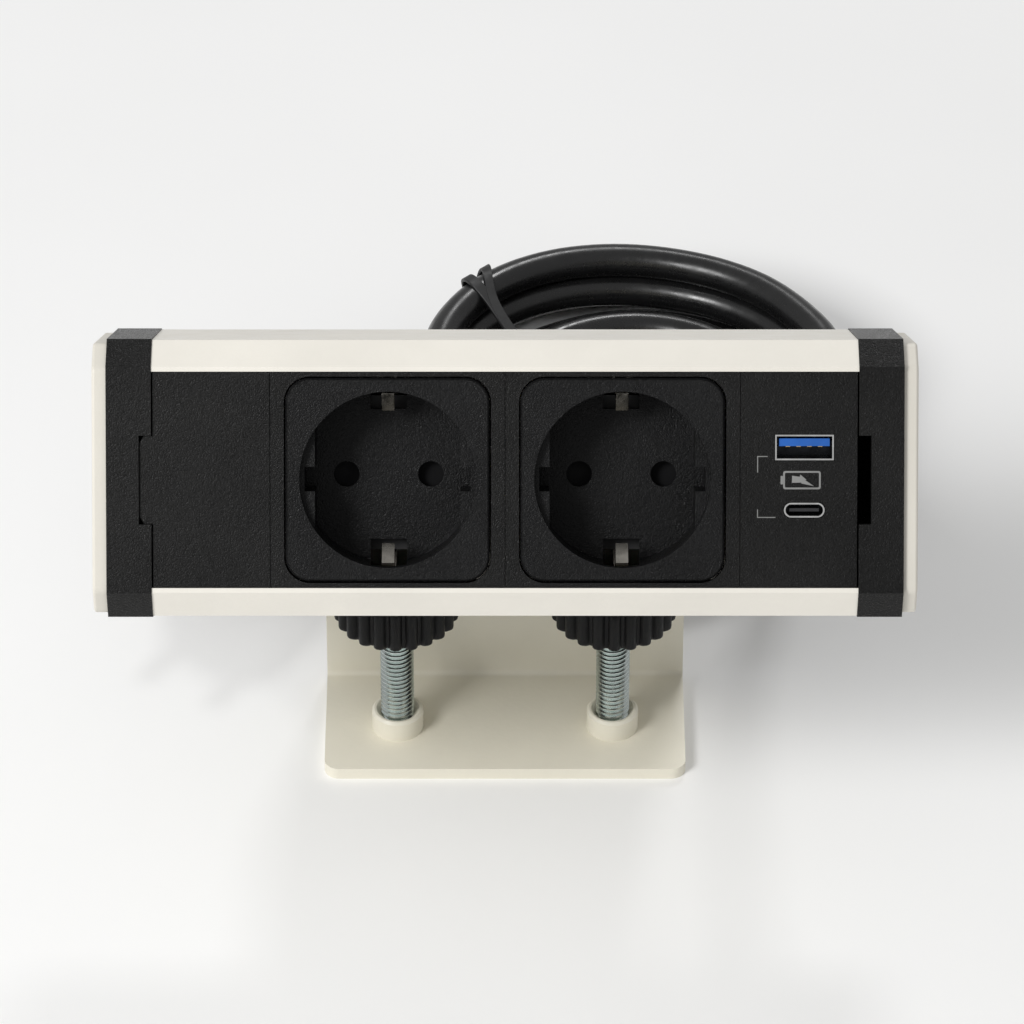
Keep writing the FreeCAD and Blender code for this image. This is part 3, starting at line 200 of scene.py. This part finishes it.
def smooth_plastic(name, colour, rough, shine=0.5, **scuffs):
    """Smooth moulded plastic or rubber with faint scuffs."""
    mat = material(name, roughness=rough, Specular_IOR_Level=shine)
    mottle(mat, colour, 0.15, noise(mat, 120, detail=4))
    scuff(mat, rough, **scuffs)
    return mat


def striped_wire(name):
    """Green insulation with a yellow stripe."""
    rough = 0.45
    green, yellow = (0.08, 0.32, 0.05), (0.75, 0.62, 0.05)
    mat = material(name, roughness=rough, Specular_IOR_Level=0.5)
    scuff(mat, rough)
    bands = noise(mat, 220, detail=0, stretch=(0.05, 1, 1))
    feed(mat, ramp(mat, bands, [(0.48, green), (0.52, yellow)]), "Base Color")
    return mat


def make_finishes():
    """One material for each of the record's slots, and a few more for the added pieces."""
    return {
        "white_profile": powder_coat("white_profile", (0.78, 0.75, 0.68)),
        "white_plastic": powder_coat("white_plastic", (0.68, 0.65, 0.58), 0.5, peel=1500),
        "white_steel": powder_coat("white_steel", (0.80, 0.765, 0.65), 0.45, peel=700),
        "black_plastic": grained_plastic("black_plastic", (0.0065, 0.0064, 0.0062), 0.38, 2900, 0.00016,
                                         speck=0.5),
        "black_insert": grained_plastic("black_insert", (0.0055, 0.0055, 0.0057), 0.36, 2900, 0.00015,
                                        speck=0.5),
        # Painted shade: the shutter, grey in truth, is coloured near-black for the shade deep in the pin
        # holes.
        "grey_shutter": smooth_plastic("grey_shutter", (0.004, 0.004, 0.0045), 0.6, shine=0.1),
        "inner_plastic": smooth_plastic("inner_plastic", (0.012, 0.012, 0.013), 0.5),
        "brass": metal("brass", (0.78, 0.58, 0.28), 0.3),
        "contact_steel": metal("contact_steel", (0.42, 0.40, 0.36), 0.16),
        "spring_steel": metal("spring_steel", (0.55, 0.56, 0.58), 0.3),
        "zinc_steel": metal("zinc_steel", (0.60, 0.66, 0.64), 0.20, scale=500, stretch=(1, 1, 0.2),
                            depth=0.00003),
        # The outlet shells carry painted shade: their colour darkens inside the outlets.
        "outlet_shell": outlet_metal_with_painted_shade("outlet_shell"),
        "blue_tongue": smooth_plastic("blue_tongue", (0.012, 0.105, 0.42), 0.35),
        "black_tongue": smooth_plastic("black_tongue", (0.02, 0.02, 0.022), 0.35),
        "gold_contact": metal("gold_contact", (0.90, 0.66, 0.28), 0.22),
        "board": smooth_plastic("board", (0.02, 0.13, 0.05), 0.4),
        "components": smooth_plastic("components", (0.06, 0.06, 0.065), 0.4),
        "knob_plastic": grained_plastic("knob_plastic", (0.005, 0.005, 0.005), 0.5, 2600, 0.00005),
        "rubber_grey": smooth_plastic("rubber_grey", (0.045, 0.045, 0.047), 0.75, scale=700, depth=0.00005),
        "gland_plastic": grained_plastic("gland_plastic", (0.018, 0.018, 0.019), 0.45, 1200, 0.00004),
        "cord_jacket": smooth_plastic("cord_jacket", (0.008, 0.008, 0.0083), 0.27, scale=260, depth=0.00004),
        "cord_tie": smooth_plastic("cord_tie", (0.007, 0.007, 0.0075), 0.5),
        "plug_black": grained_plastic("plug_black", (0.016, 0.016, 0.017), 0.45, 1100, 0.00005),
        "wire_brown": smooth_plastic("wire_brown", (0.12, 0.045, 0.02), 0.45),
        "wire_blue": smooth_plastic("wire_blue", (0.02, 0.09, 0.42), 0.45),
        "wire_green": striped_wire("wire_green"),
        "print": smooth_plastic("print", (0.22, 0.22, 0.215), 0.6),
    }


FINISHES = make_finishes()
SLOTS = {part["node"]: part["material_slot"] for part in frame["record"]["subparts"]}
EDGE_WIDTHS = {"housing_profile": 0.35, "clamp_bracket": 0.5, "desk_lining": 0.4, "blank_module": 0.25,
               "usb_cover": 0.25, "socket_insert_left": 0.3, "socket_insert_right": 0.3, "usb_a_shell": 0.08,
               "usb_c_shell": 0.08, "plug_pins": 0.3}
USUAL_EDGE_WIDTH = 0.2
# Edges that turn by more than this, in degrees, are rounded.
EDGE_ANGLE = 28


def soften(obj, width_mm):
    """A narrow rounded edge, so that edges catch the light."""
    edge = obj.modifiers.new("edge", "BEVEL")
    edge.width = width_mm * MM
    edge.segments = 2
    edge.limit_method = "ANGLE"
    edge.angle_limit = math.radians(EDGE_ANGLE)
    edge.use_clamp_overlap = True
    edge.harden_normals = False


def dress_nodes():
    """Gives every CAD node its finish and softens its edges."""
    for node, obj in frame["nodes"].items():
        obj.data.materials.clear()
        obj.data.materials.append(FINISHES[SLOTS[node]])
        soften(obj, EDGE_WIDTHS.get(node, USUAL_EDGE_WIDTH))


dress_nodes()


# Meshes


def loft(rings, joined=False):
    """Joins closed rings of equal length into a skin, capped at its ends or joined end to end."""
    n, count = len(rings[0]), len(rings)
    verts = [point for ring in rings for point in ring]
    faces = []
    for j in range(count if joined else count - 1):
        low, high = j * n, (j + 1) % count * n
        faces += [(low + i, low + (i + 1) % n, high + (i + 1) % n, high + i) for i in range(n)]
    if not joined:
        faces += [tuple(reversed(range(n))), tuple(range((count - 1) * n, count * n))]
    return verts, faces


def turned(profile, segments, lobe=None):
    """Rings about Z from (radius, height) or (radius, height, share of the lobe) points."""
    rings = []
    for radius, height, *share in profile:
        ring = []
        for i in range(segments):
            a = math.tau * i / segments
            r = radius + (share[0] * lobe(a) if share else 0)
            ring.append((r * math.cos(a), r * math.sin(a), height))
        rings.append(ring)
    return rings


def add_piece(name, mesh_data, finish, body, replaces=(), where=Matrix(), sharp=35):
    """Makes a piece from points in mm and puts it in place on its body."""
    verts, faces = mesh_data
    mesh = bpy.data.meshes.new(name)
    mesh.from_pydata([where @ (Vector(v) * MM) for v in verts], [], faces)
    work = bmesh.new()
    work.from_mesh(mesh)
    bmesh.ops.recalc_face_normals(work, faces=work.faces)
    work.to_mesh(mesh)
    work.free()
    mesh.shade_smooth()
    mesh.set_sharp_from_angle(angle=math.radians(sharp))
    obj = bpy.data.objects.new(name, mesh)
    bpy.context.scene.collection.objects.link(obj)
    mesh.materials.append(FINISHES[finish])
    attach(obj, body)
    if replaces:
        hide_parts(*replaces)


def shift(x, y):
    """A move along the floor, in mm."""
    return Matrix.Translation(Vector((x, y, 0)) * MM)


# Clamp screws

SCREW_X, SCREW_Y = 25.7, 20.5
STUD_LOW, STUD_TOP = 0.5, 47.6
PITCH = 1.25
# One pitch of the M8 thread: (share of the pitch, radius).
THREAD = [(0, 4.0), (0.12, 4.0), (0.33, 3.62), (0.5, 3.3), (0.64, 3.3), (0.84, 3.66)]
KNOB_LOW, KNOB_HEIGHT, KNOB_RIBS = 37.1, 12.5, 22
KNOB_CORE, RIB_RISE = 13.45, 1.35
# Half of a rib's width, as a share of the ribs' spacing.
RIB_HALF_WIDTH = 0.36
POINTS_PER_RIB = 10
STUD_TIP_RADIUS = 3.2
PAD_GAP, PAD_THICKNESS = 0.4, 3.2
PAD_GROOVES, GROOVE_DEPTH = (9, 6.6, 4.2), 0.5


def threaded_stud():
    """A right-hand threaded rod with bevelled ends."""
    columns, rows, lead_in = 40, len(THREAD), 1.5
    turns = int((STUD_TOP - STUD_LOW) / PITCH) + 3
    verts, faces = [], []
    for j in range(turns * rows):
        share, radius = THREAD[j % rows]
        for i in range(columns):
            z = STUD_LOW + (j // rows - lead_in + share + i / columns) * PITCH
            r = min(radius, STUD_TIP_RADIUS + max(0, z - STUD_LOW), STUD_TIP_RADIUS + max(0, STUD_TOP - z))
            a = math.tau * i / columns
            verts.append((r * math.cos(a), r * math.sin(a), z))
    for j in range((turns - 1) * rows - 1):
        for i in range(columns):
            k = j * columns + i
            after = k + 1 if i < columns - 1 else k + 1 - columns + rows * columns
            faces.append((k, after, after + columns, k + columns))
    return cropped(verts, faces, STUD_LOW, STUD_TOP)


def cropped(verts, faces, low, high):
    """Cuts a skin off square at two heights and closes it there."""
    work = bmesh.new()
    made = [work.verts.new(v) for v in verts]
    for face in faces:
        work.faces.new([made[i] for i in face])
    for height, up in ((low, -1), (high, 1)):
        everything = work.verts[:] + work.edges[:] + work.faces[:]
        bmesh.ops.bisect_plane(work, geom=everything, plane_co=(0, 0, height), plane_no=(0, 0, up),
                               clear_outer=True)
    loose = [v for v in work.verts if not v.link_faces]
    bmesh.ops.delete(work, geom=loose, context="VERTS")
    rims = [edge for edge in work.edges if edge.is_boundary]
    bmesh.ops.holes_fill(work, edges=rims, sides=0)
    work.verts.index_update()
    result = [v.co.copy() for v in work.verts], [tuple(v.index for v in f.verts) for f in work.faces]
    work.free()
    return result


def rib_lobe(angle):
    """The rise of the knob's round ribs: 0 between them, RIB_RISE on each crest."""
    across = (angle * KNOB_RIBS / math.tau) % 1 - 0.5
    return RIB_RISE * math.sqrt(max(0.0, 1 - (across / RIB_HALF_WIDTH) ** 2))


def ribbed_knob():
    """The hand knob: ribbed skirt, hollow underside with a boss, and the swivel's stem on top."""
    low, top = KNOB_LOW, KNOB_LOW + KNOB_HEIGHT
    core = KNOB_CORE
    boss = [(4.05, low + 4), (4.05, low + 0.4), (4.5, low), (7.0, low), (7.4, low + 0.4)]
    hollow = [(7.6, low + 1.6), (10.8, low + 1.6), (11, low + 0.4), (11.4, low)]
    skirt = [(core - 0.7, low, 0.25), (core - 0.25, low + 0.15, 0.7), (core, low + 0.55, 0.93),
             (core, low + 1.2, 1), (core, top - 2.6, 1), (core - 0.05, top - 1.9, 0.85),
             (core - 0.3, top - 1.2, 0.45), (core - 1, top - 0.5, 0.1)]
    stem = [(core - 2.2, top), (3.4, top), (2.6, top + 0.3), (2.6, top + 1.3), (2.2, top + 1.6)]
    return loft(turned(boss + hollow + skirt + stem, KNOB_RIBS * POINTS_PER_RIB, rib_lobe))


def swivel_pad():
    """The rubber-faced pad: a shallow dish with a grooved bearing face."""
    low = KNOB_LOW + KNOB_HEIGHT + PAD_GAP
    face = low + PAD_THICKNESS
    socket = [(2.66, low + 1.7), (2.66, low + 0.2), (3, low)]
    dish = [(10.6, low), (11.3, low + 0.3), (11.5, low + 0.9), (11.5, face - 0.7), (11.3, face - 0.2),
            (10.9, face)]
    deep = face - GROOVE_DEPTH
    grooves = [point for r in PAD_GROOVES
               for point in ((r + 0.5, face), (r + 0.3, deep), (r - 0.3, deep), (r - 0.5, face))]
    return loft(turned(socket + dish + grooves + [(1.2, face)], segments=72))


def make_clamp_screws():
    for side, name in ((-1, "left"), (1, "right")):
        where = shift(side * SCREW_X, SCREW_Y)
        add_piece(f"threaded_stud_{name}", threaded_stud(), "zinc_steel", f"screw_{name}",
                  (f"clamp_stud_{name}",), where, sharp=50)
        add_piece(f"ribbed_knob_{name}", ribbed_knob(), "knob_plastic", f"screw_{name}",
                  (f"clamp_knob_{name}",), where, sharp=40)
        add_piece(f"grooved_pad_{name}", swivel_pad(), "rubber_grey", f"pad_{name}",
                  (f"swivel_pad_{name}",), where)


make_clamp_screws()


# Printed marks on the charger module

USB_X = 66.85
PRINT_DEPTH = 0.4
PRINT_RISE, PRINT_ROOT = 0.03, 0.05
PRINT_LINE = 0.2


def slab(outline, hole=None):
    """A thin printed shape on the module's face, from (x, height) points, with an optional hole."""
    front, back = PRINT_DEPTH - PRINT_RISE, PRINT_DEPTH + PRINT_ROOT
    loops = [outline] if hole is None else [outline, hole]
    rings = [[(x, y, z) for x, z in loop] for loop in loops for y in (front, back)]
    if hole is None:
        return loft(rings)
    outer_front, outer_back, hole_front, hole_back = rings
    return loft([outer_front, outer_back, hole_back, hole_front], joined=True)


def joined_meshes(parts):
    """Several (points, faces) pairs as one."""
    verts, faces = [], []
    for part_verts, part_faces in parts:
        base = len(verts)
        verts += part_verts
        faces += [tuple(i + base for i in face) for face in part_faces]
    return verts, faces


def round_box(x, z, width, height, radius, corner_points=5):
    """A rounded rectangle about (x, z)."""
    points = []
    for quarter, (sx, sz) in enumerate(((1, 1), (-1, 1), (-1, -1), (1, -1))):
        for i in range(corner_points):
            a = math.pi / 2 * (quarter + i / (corner_points - 1))
            points.append((x + sx * (width / 2 - radius) + radius * math.cos(a),
                           z + sz * (height / 2 - radius) + radius * math.sin(a)))
    return points


def bar(x_low, z_low, x_high, z_high):
    """A straight printed line, from corner to corner."""
    return slab([(x_low, z_low), (x_high, z_low), (x_high, z_high), (x_low, z_high)])


def make_prints():
    """A battery with a charging bolt between the outlets, and a line that joins the two."""
    x, z = USB_X - 0.55, 30.95
    battery = slab(round_box(x, z, 8.4, 4.1, 0.5), round_box(x, z, 7.6, 3.3, 0.25))
    terminal = slab(round_box(x - 4.5, z, 0.55, 1.9, 0.15))
    bolt = slab([(x - 2.2, z + 1.0), (x - 0.5, z + 0.75), (x - 0.35, z + 1.25), (x + 1.0, z + 0.1),
                 (x + 0.75, z - 0.02), (x + 2.7, z - 1.35), (x - 0.1, z - 0.75), (x - 0.15, z - 0.55),
                 (x - 2.25, z - 0.6)])
    left, high, low = USB_X - 10.55, 36.35, 22.5
    left_in, high_in, low_in = left + PRINT_LINE, high - PRINT_LINE, low + PRINT_LINE
    lines = [bar(left, high_in, left + 2.3, high), bar(left, high - 3.7, left_in, high_in),
             bar(left, low_in, left_in, low + 1.9), bar(left, low, left + 4.1, low_in)]
    add_piece("outlet_marks", joined_meshes([battery, terminal, bolt, *lines]), "print", "strip",
              where=HEAD)


make_prints()


# Mains lead

CORD_RADIUS = 4.25
# The curve's points before the coil, from the gland, and after it, to the plug.
LEAD_ROUTE = [(62, 52.84, 61.96), (62, 75.48, 47.26), (68.5, 101, 32.4), (79, 126.5, 22.9), (84, 148, 21.2)]
TAIL_ROUTE = [(-11, 178.5, 4.7), (-21.5, 161.5, 5), (-27, 138.93, 7.95), (-33.98, 126.96, 10.49)]
COIL_X, COIL_Y = 33, 134.8
# Where each turn of the coil lies: radius, height, and how far it bulges near the tie.
TURNS = [(51.2, 21.25, 3.6), (50, 12.9, 3.3), (34.5, 12.9, 0),
         (37, 4.4, 0), (47.5, 4.4, -2.2), (61.3, 4.4, 3.4)]
# The angles over which each turn but the last moves to the next one's radius, and to its height.
MOVES = [((285, 350), (285, 350)), ((185, 310), (300, 301)), ((230, 320), (225, 300)),
         ((180, 290), (205, 240)), ((165, 285), (175, 215))]
BULGE_ANGLE, BULGE_SPREAD = 128, 60
POINTS_PER_TURN = 20
COIL_START, COIL_END = 42, 5 * 360 + 116
TIE_OUTER_ANGLE, TIE_INNER_ANGLE = 133.5, 149
TIE_HALF_WIDTH, TIE_HALF_SHEET = 1.55, 0.45
# How far the tie's two wraps part on the outside, and how tightly that is kept to the outside.
TIE_SPREAD, TIE_PARTING = 3.2, 24
# How far the second wrap lies over the first one inside the coil.
TIE_LIFT = 0.9
TIE_ABOVE_FLOOR = 0.05
# The strap's section, as shares of half its width and half its thickness.
TIE_SECTION = ((-1, -0.6), (-0.9, -1), (0.9, -1), (1, -0.6), (1, 0.6), (0.9, 1), (-0.9, 1), (-1, 0.6))


def ease(t):
    """A smooth step from 0 to 1."""
    t = min(1.0, max(0.0, t))
    return t * t * (3 - 2 * t)


def turn_slot(angle):
    """Radius and height of the coil at its total angle in degrees from the first turn's +X side."""
    turn = int(angle // 360)
    radius, height, bulge = TURNS[turn]
    if turn < len(MOVES):
        (out_first, out_last), (down_first, down_last) = MOVES[turn]
        next_radius, next_height, next_bulge = TURNS[turn + 1]
        share = ease((angle % 360 - out_first) / (out_last - out_first))
        radius += (next_radius - radius) * share
        bulge += (next_bulge - bulge) * share
        height += (next_height - height) * ease((angle % 360 - down_first) / (down_last - down_first))
    away = (angle % 360 - BULGE_ANGLE) / BULGE_SPREAD
    if abs(away) < 1:
        radius += bulge * math.cos(away * math.pi / 2) ** 2
    return radius, height


def coil_point(angle):
    """The coil's middle line at its total angle."""
    radius, height = turn_slot(angle)
    a = math.radians(angle)
    return (COIL_X + radius * math.cos(a), COIL_Y + radius * math.sin(a), height)


def make_cord():
    """The whole lead, from the boot at the housing to the boot on the plug, as one curve."""
    steps = round((COIL_END - COIL_START) / 360 * POINTS_PER_TURN)
    coil = [coil_point(COIL_START + (COIL_END - COIL_START) * i / steps) for i in range(steps + 1)]
    route = LEAD_ROUTE + coil + TAIL_ROUTE
    curve = bpy.data.curves.new("mains_lead", "CURVE")
    curve.dimensions = "3D"
    spline = curve.splines.new("NURBS")
    spline.points.add(len(route) - 1)
    for point, place in zip(spline.points, route):
        point.co = (*(c * MM for c in place), 1)
    spline.order_u = 3
    spline.use_endpoint_u = True
    spline.resolution_u = 6
    curve.bevel_depth = CORD_RADIUS * MM
    curve.bevel_resolution = 8
    curve.use_fill_caps = True
    cord = bpy.data.objects.new("mains_lead", curve)
    bpy.context.scene.collection.objects.link(cord)
    cord.data.materials.append(FINISHES["cord_jacket"])
    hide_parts("cord_lead", "cord_coil", "cord_tail")
    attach(cord, "strip")
    return cord


def hull(points):
    """The convex outline of points in a plane, anticlockwise."""
    points = sorted(set(points))
    outline = []
    for run in (points, points[::-1]):
        chain = []
        for p in run:
            while len(chain) > 1 and ((chain[-1][0] - chain[-2][0]) * (p[1] - chain[-2][1])
                                      - (chain[-1][1] - chain[-2][1]) * (p[0] - chain[-2][0])) <= 0:
                chain.pop()
            chain.append(p)
        outline += chain[:-1]
    return outline


def evenly(outline, count, first):
    """Points at even steps round a closed outline, from the one nearest to first."""
    start = min(range(len(outline)), key=lambda i: math.dist(outline[i], first))
    outline = outline[start:] + outline[:start + 1]
    marks = [0]
    for a, b in zip(outline, outline[1:]):
        marks.append(marks[-1] + math.dist(a, b))
    points, k = [], 0
    for i in range(count):
        want = marks[-1] * i / count
        while marks[k + 1] < want:
            k += 1
        t = (want - marks[k]) / (marks[k + 1] - marks[k])
        points.append(tuple(a + (b - a) * t for a, b in zip(outline[k], outline[k + 1])))
    return points


def make_tie():
    """A strap wound twice round the turns, its two wraps apart on the outside and stacked inside."""
    around = CORD_RADIUS + TIE_HALF_SHEET
    lowest = TIE_HALF_SHEET + TIE_ABOVE_FLOOR
    slots = [turn_slot(360 * turn + TIE_OUTER_ANGLE) for turn in range(len(MOVES))]
    round_steps = 32
    steps = [math.tau * i / round_steps for i in range(round_steps)]
    circles = [(r + around * math.cos(step), max(z + around * math.sin(step), lowest))
               for r, z in slots for step in steps]
    outer, inner = max(r for r, _ in circles), min(r for r, _ in circles)
    once = evenly(hull(circles), 90, (slots[0][0] + around, slots[0][1] + around))
    path = once + once
    rings = []
    for i, (r, z) in enumerate(path):
        turn = i / len(once)
        before, after = path[i - 1], path[(i + 1) % len(path)]
        along = Vector((after[0] - before[0], 0, after[1] - before[1])).normalized()
        out = Vector((along.z, 0, -along.x))
        lift = TIE_LIFT * math.sin(math.pi * (turn - 1)) ** 2 if turn > 1 else 0
        share = (outer - r) / (outer - inner)
        a = math.radians(TIE_OUTER_ANGLE + (TIE_INNER_ANGLE - TIE_OUTER_ANGLE) * share)
        swing = math.cos(math.pi * turn)
        centre = Vector((r, TIE_SPREAD * swing * abs(swing) ** TIE_PARTING, z)) + out * lift
        ring = []
        for across, rise in TIE_SECTION:
            p = centre + out * (rise * TIE_HALF_SHEET) + Vector((0, across * TIE_HALF_WIDTH, 0))
            ring.append((COIL_X + p.x * math.cos(a) - p.y * math.sin(a),
                         COIL_Y + p.x * math.sin(a) + p.y * math.cos(a),
                         max(p.z, TIE_ABOVE_FLOOR + 0.1 * (rise + 1))))
        rings.append(ring)
    add_piece("wound_tie", loft(rings, joined=True), "cord_tie", "strip", ("cord_tie",))


def ribbed_boot(low_radius, high_radius, length, ribs):
    """A tapered strain relief: a collar, then rings with grooves between them."""
    collar, end_ring, groove_depth = 2.5, 2, 1.15
    bore = CORD_RADIUS - 0.3
    profile = [(bore, 0), (low_radius, 0), (low_radius, collar - 0.3), (low_radius - 0.25, collar)]
    step = (length - collar - end_ring) / ribs
    for i in range(ribs):
        z = collar + step * i
        r = low_radius + (high_radius - low_radius) * z / length
        groove = r - groove_depth
        profile += [(groove, z + 0.25), (groove, z + step * 0.35), (r - 0.12, z + step * 0.45),
                    (r, z + step * 0.55), (r - 0.05, z + step * 0.9), (r - 0.3, z + step)]
    profile += [(high_radius, length - 1.6), (high_radius - 0.15, length - 0.4),
                (high_radius - 0.5, length), (bore, length)]
    return loft(turned(profile, segments=40))


def axis_frame(place, direction, side):
    """A frame at place whose Z axis runs along direction and whose X axis is nearest to side."""
    z_axis = Vector(direction).normalized()
    y_axis = z_axis.cross(Vector(side)).normalized()
    x_axis = y_axis.cross(z_axis)
    turn = Matrix((x_axis, y_axis, z_axis)).transposed().to_4x4()
    return Matrix.Translation(Vector(place) * MM) @ turn


# The plug lies on its taper, so its axis slopes down from the middle of its face to its boot.
PLUG_LENGTH = 38
PLUG_TURN = math.radians(60)
PLUG_FACE_RADIUS, PLUG_REAR_RADIUS, PLUG_RIM, PLUG_END = 18.8, 15, 15, 2
PLUG_SLOPE = math.atan((PLUG_FACE_RADIUS - PLUG_REAR_RADIUS) / (PLUG_LENGTH - PLUG_RIM - PLUG_END))
PLUG_HEIGHT = (PLUG_FACE_RADIUS + PLUG_RIM * math.tan(PLUG_SLOPE)) * math.cos(PLUG_SLOPE)
PLUG_FACE = Vector((-63.5, 75.83, PLUG_HEIGHT))
PLUG_AXIS = Vector((math.cos(PLUG_TURN) * math.cos(PLUG_SLOPE),
                    math.sin(PLUG_TURN) * math.cos(PLUG_SLOPE), -math.sin(PLUG_SLOPE)))
GRIP_FIRST, GRIP_LAST, GRIP_RIDGES = 19.5, 32.5, 6
GRIP_BORE = 12
# The foot of the gland's boot, in the housing's own frame.
BOOT_FOOT = Vector((62, 71.75, 31))


def plug_grip():
    """The ridged grip behind the plug's rim."""
    profile = [(GRIP_BORE, GRIP_FIRST)]
    step = (GRIP_LAST - GRIP_FIRST) / GRIP_RIDGES
    for i in range(GRIP_RIDGES):
        z = GRIP_FIRST + step * i
        r = PLUG_FACE_RADIUS - math.tan(PLUG_SLOPE) * (z + step - PLUG_RIM) - 0.4
        profile += [(r - 0.75, z), (r - 0.65, z + step * 0.2), (r - 0.1, z + step * 0.35),
                    (r, z + step * 0.6), (r - 0.5, z + step * 0.8)]
    profile += [(PLUG_REAR_RADIUS - 2, GRIP_LAST), (GRIP_BORE, GRIP_LAST + 0.2)]
    return loft(turned(profile, segments=72))


def make_lead_fittings():
    boot_place = HEAD @ (BOOT_FOOT * MM) / MM
    add_piece("ribbed_boot", ribbed_boot(6.6, 5.2, 26, 6), "gland_plastic", "strip", ("cord_boot",),
              axis_frame(boot_place, DEEP, (1, 0, 0)))
    plug_end = PLUG_FACE + PLUG_AXIS * PLUG_LENGTH
    add_piece("plug_strain_relief", ribbed_boot(7.2, 5.3, 22, 5), "plug_black", "strip", ("plug_boot",),
              axis_frame(plug_end, PLUG_AXIS, (0, 0, 1)))
    add_piece("plug_grip", plug_grip(), "plug_black", "strip",
              where=axis_frame(PLUG_FACE, PLUG_AXIS, (0, 0, 1)))


cord = make_cord()
make_tie()
make_lead_fittings()


# Studio


def area_light(name, place, aim, size, power):
    """A soft rectangular lamp that points at aim."""
    data = bpy.data.lights.new(name, "AREA")
    data.shape = "RECTANGLE"
    data.size, data.size_y = size
    data.energy = power
    lamp = bpy.data.objects.new(name, data)
    lamp.location = place
    lamp.rotation_euler = (Vector(aim) - Vector(place)).to_track_quat("-Z", "Y").to_euler()
    bpy.context.scene.collection.objects.link(lamp)


def make_studio():
    """A pale floor, an evenly white room, a key lamp in front on the left and a small one behind."""
    bpy.ops.mesh.primitive_plane_add(size=8, location=(0, 0, 0))
    floor = bpy.context.active_object
    floor.name = "floor"
    paper = material("floor", roughness=0.8)
    darker, lighter = (0.90, 0.90, 0.895), (0.93, 0.93, 0.925)
    feed(paper, ramp(paper, noise(paper, 6), [(NOISE_LOW, darker), (NOISE_HIGH, lighter)]), "Base Color")
    floor.data.materials.append(paper)
    world = bpy.data.worlds.new("room")
    world.use_nodes = True
    background = world.node_tree.nodes["Background"]
    background.inputs["Color"].default_value = (1, 1, 1, 1)
    background.inputs["Strength"].default_value = 0.46
    bpy.context.scene.world = world
    area_light("key", (-0.88, -0.82, 1.06), (0, 0, 0.06), (0.5, 0.5), 17)
    area_light("back", (0.2, 1.1, 1.1), (0.03, 0.1, 0.05), (0.3, 0.2), 4)


def make_camera():
    """The camera of the reference view: a long lens, well above the strip, looking down."""
    down = math.radians(37.775)
    data = bpy.data.cameras.new("camera")
    data.lens = 228.4
    data.sensor_width = 36
    data.shift_x = 0.0068
    data.clip_start = 0.05
    camera = bpy.data.objects.new("camera", data)
    camera.location = (0, -1.1799, 0.998)
    camera.rotation_euler = (math.pi / 2 - down, 0, 0)
    bpy.context.scene.collection.objects.link(camera)
    bpy.context.scene.camera = camera
    bpy.context.scene.view_settings.view_transform = "Standard"


make_studio()
make_camera()
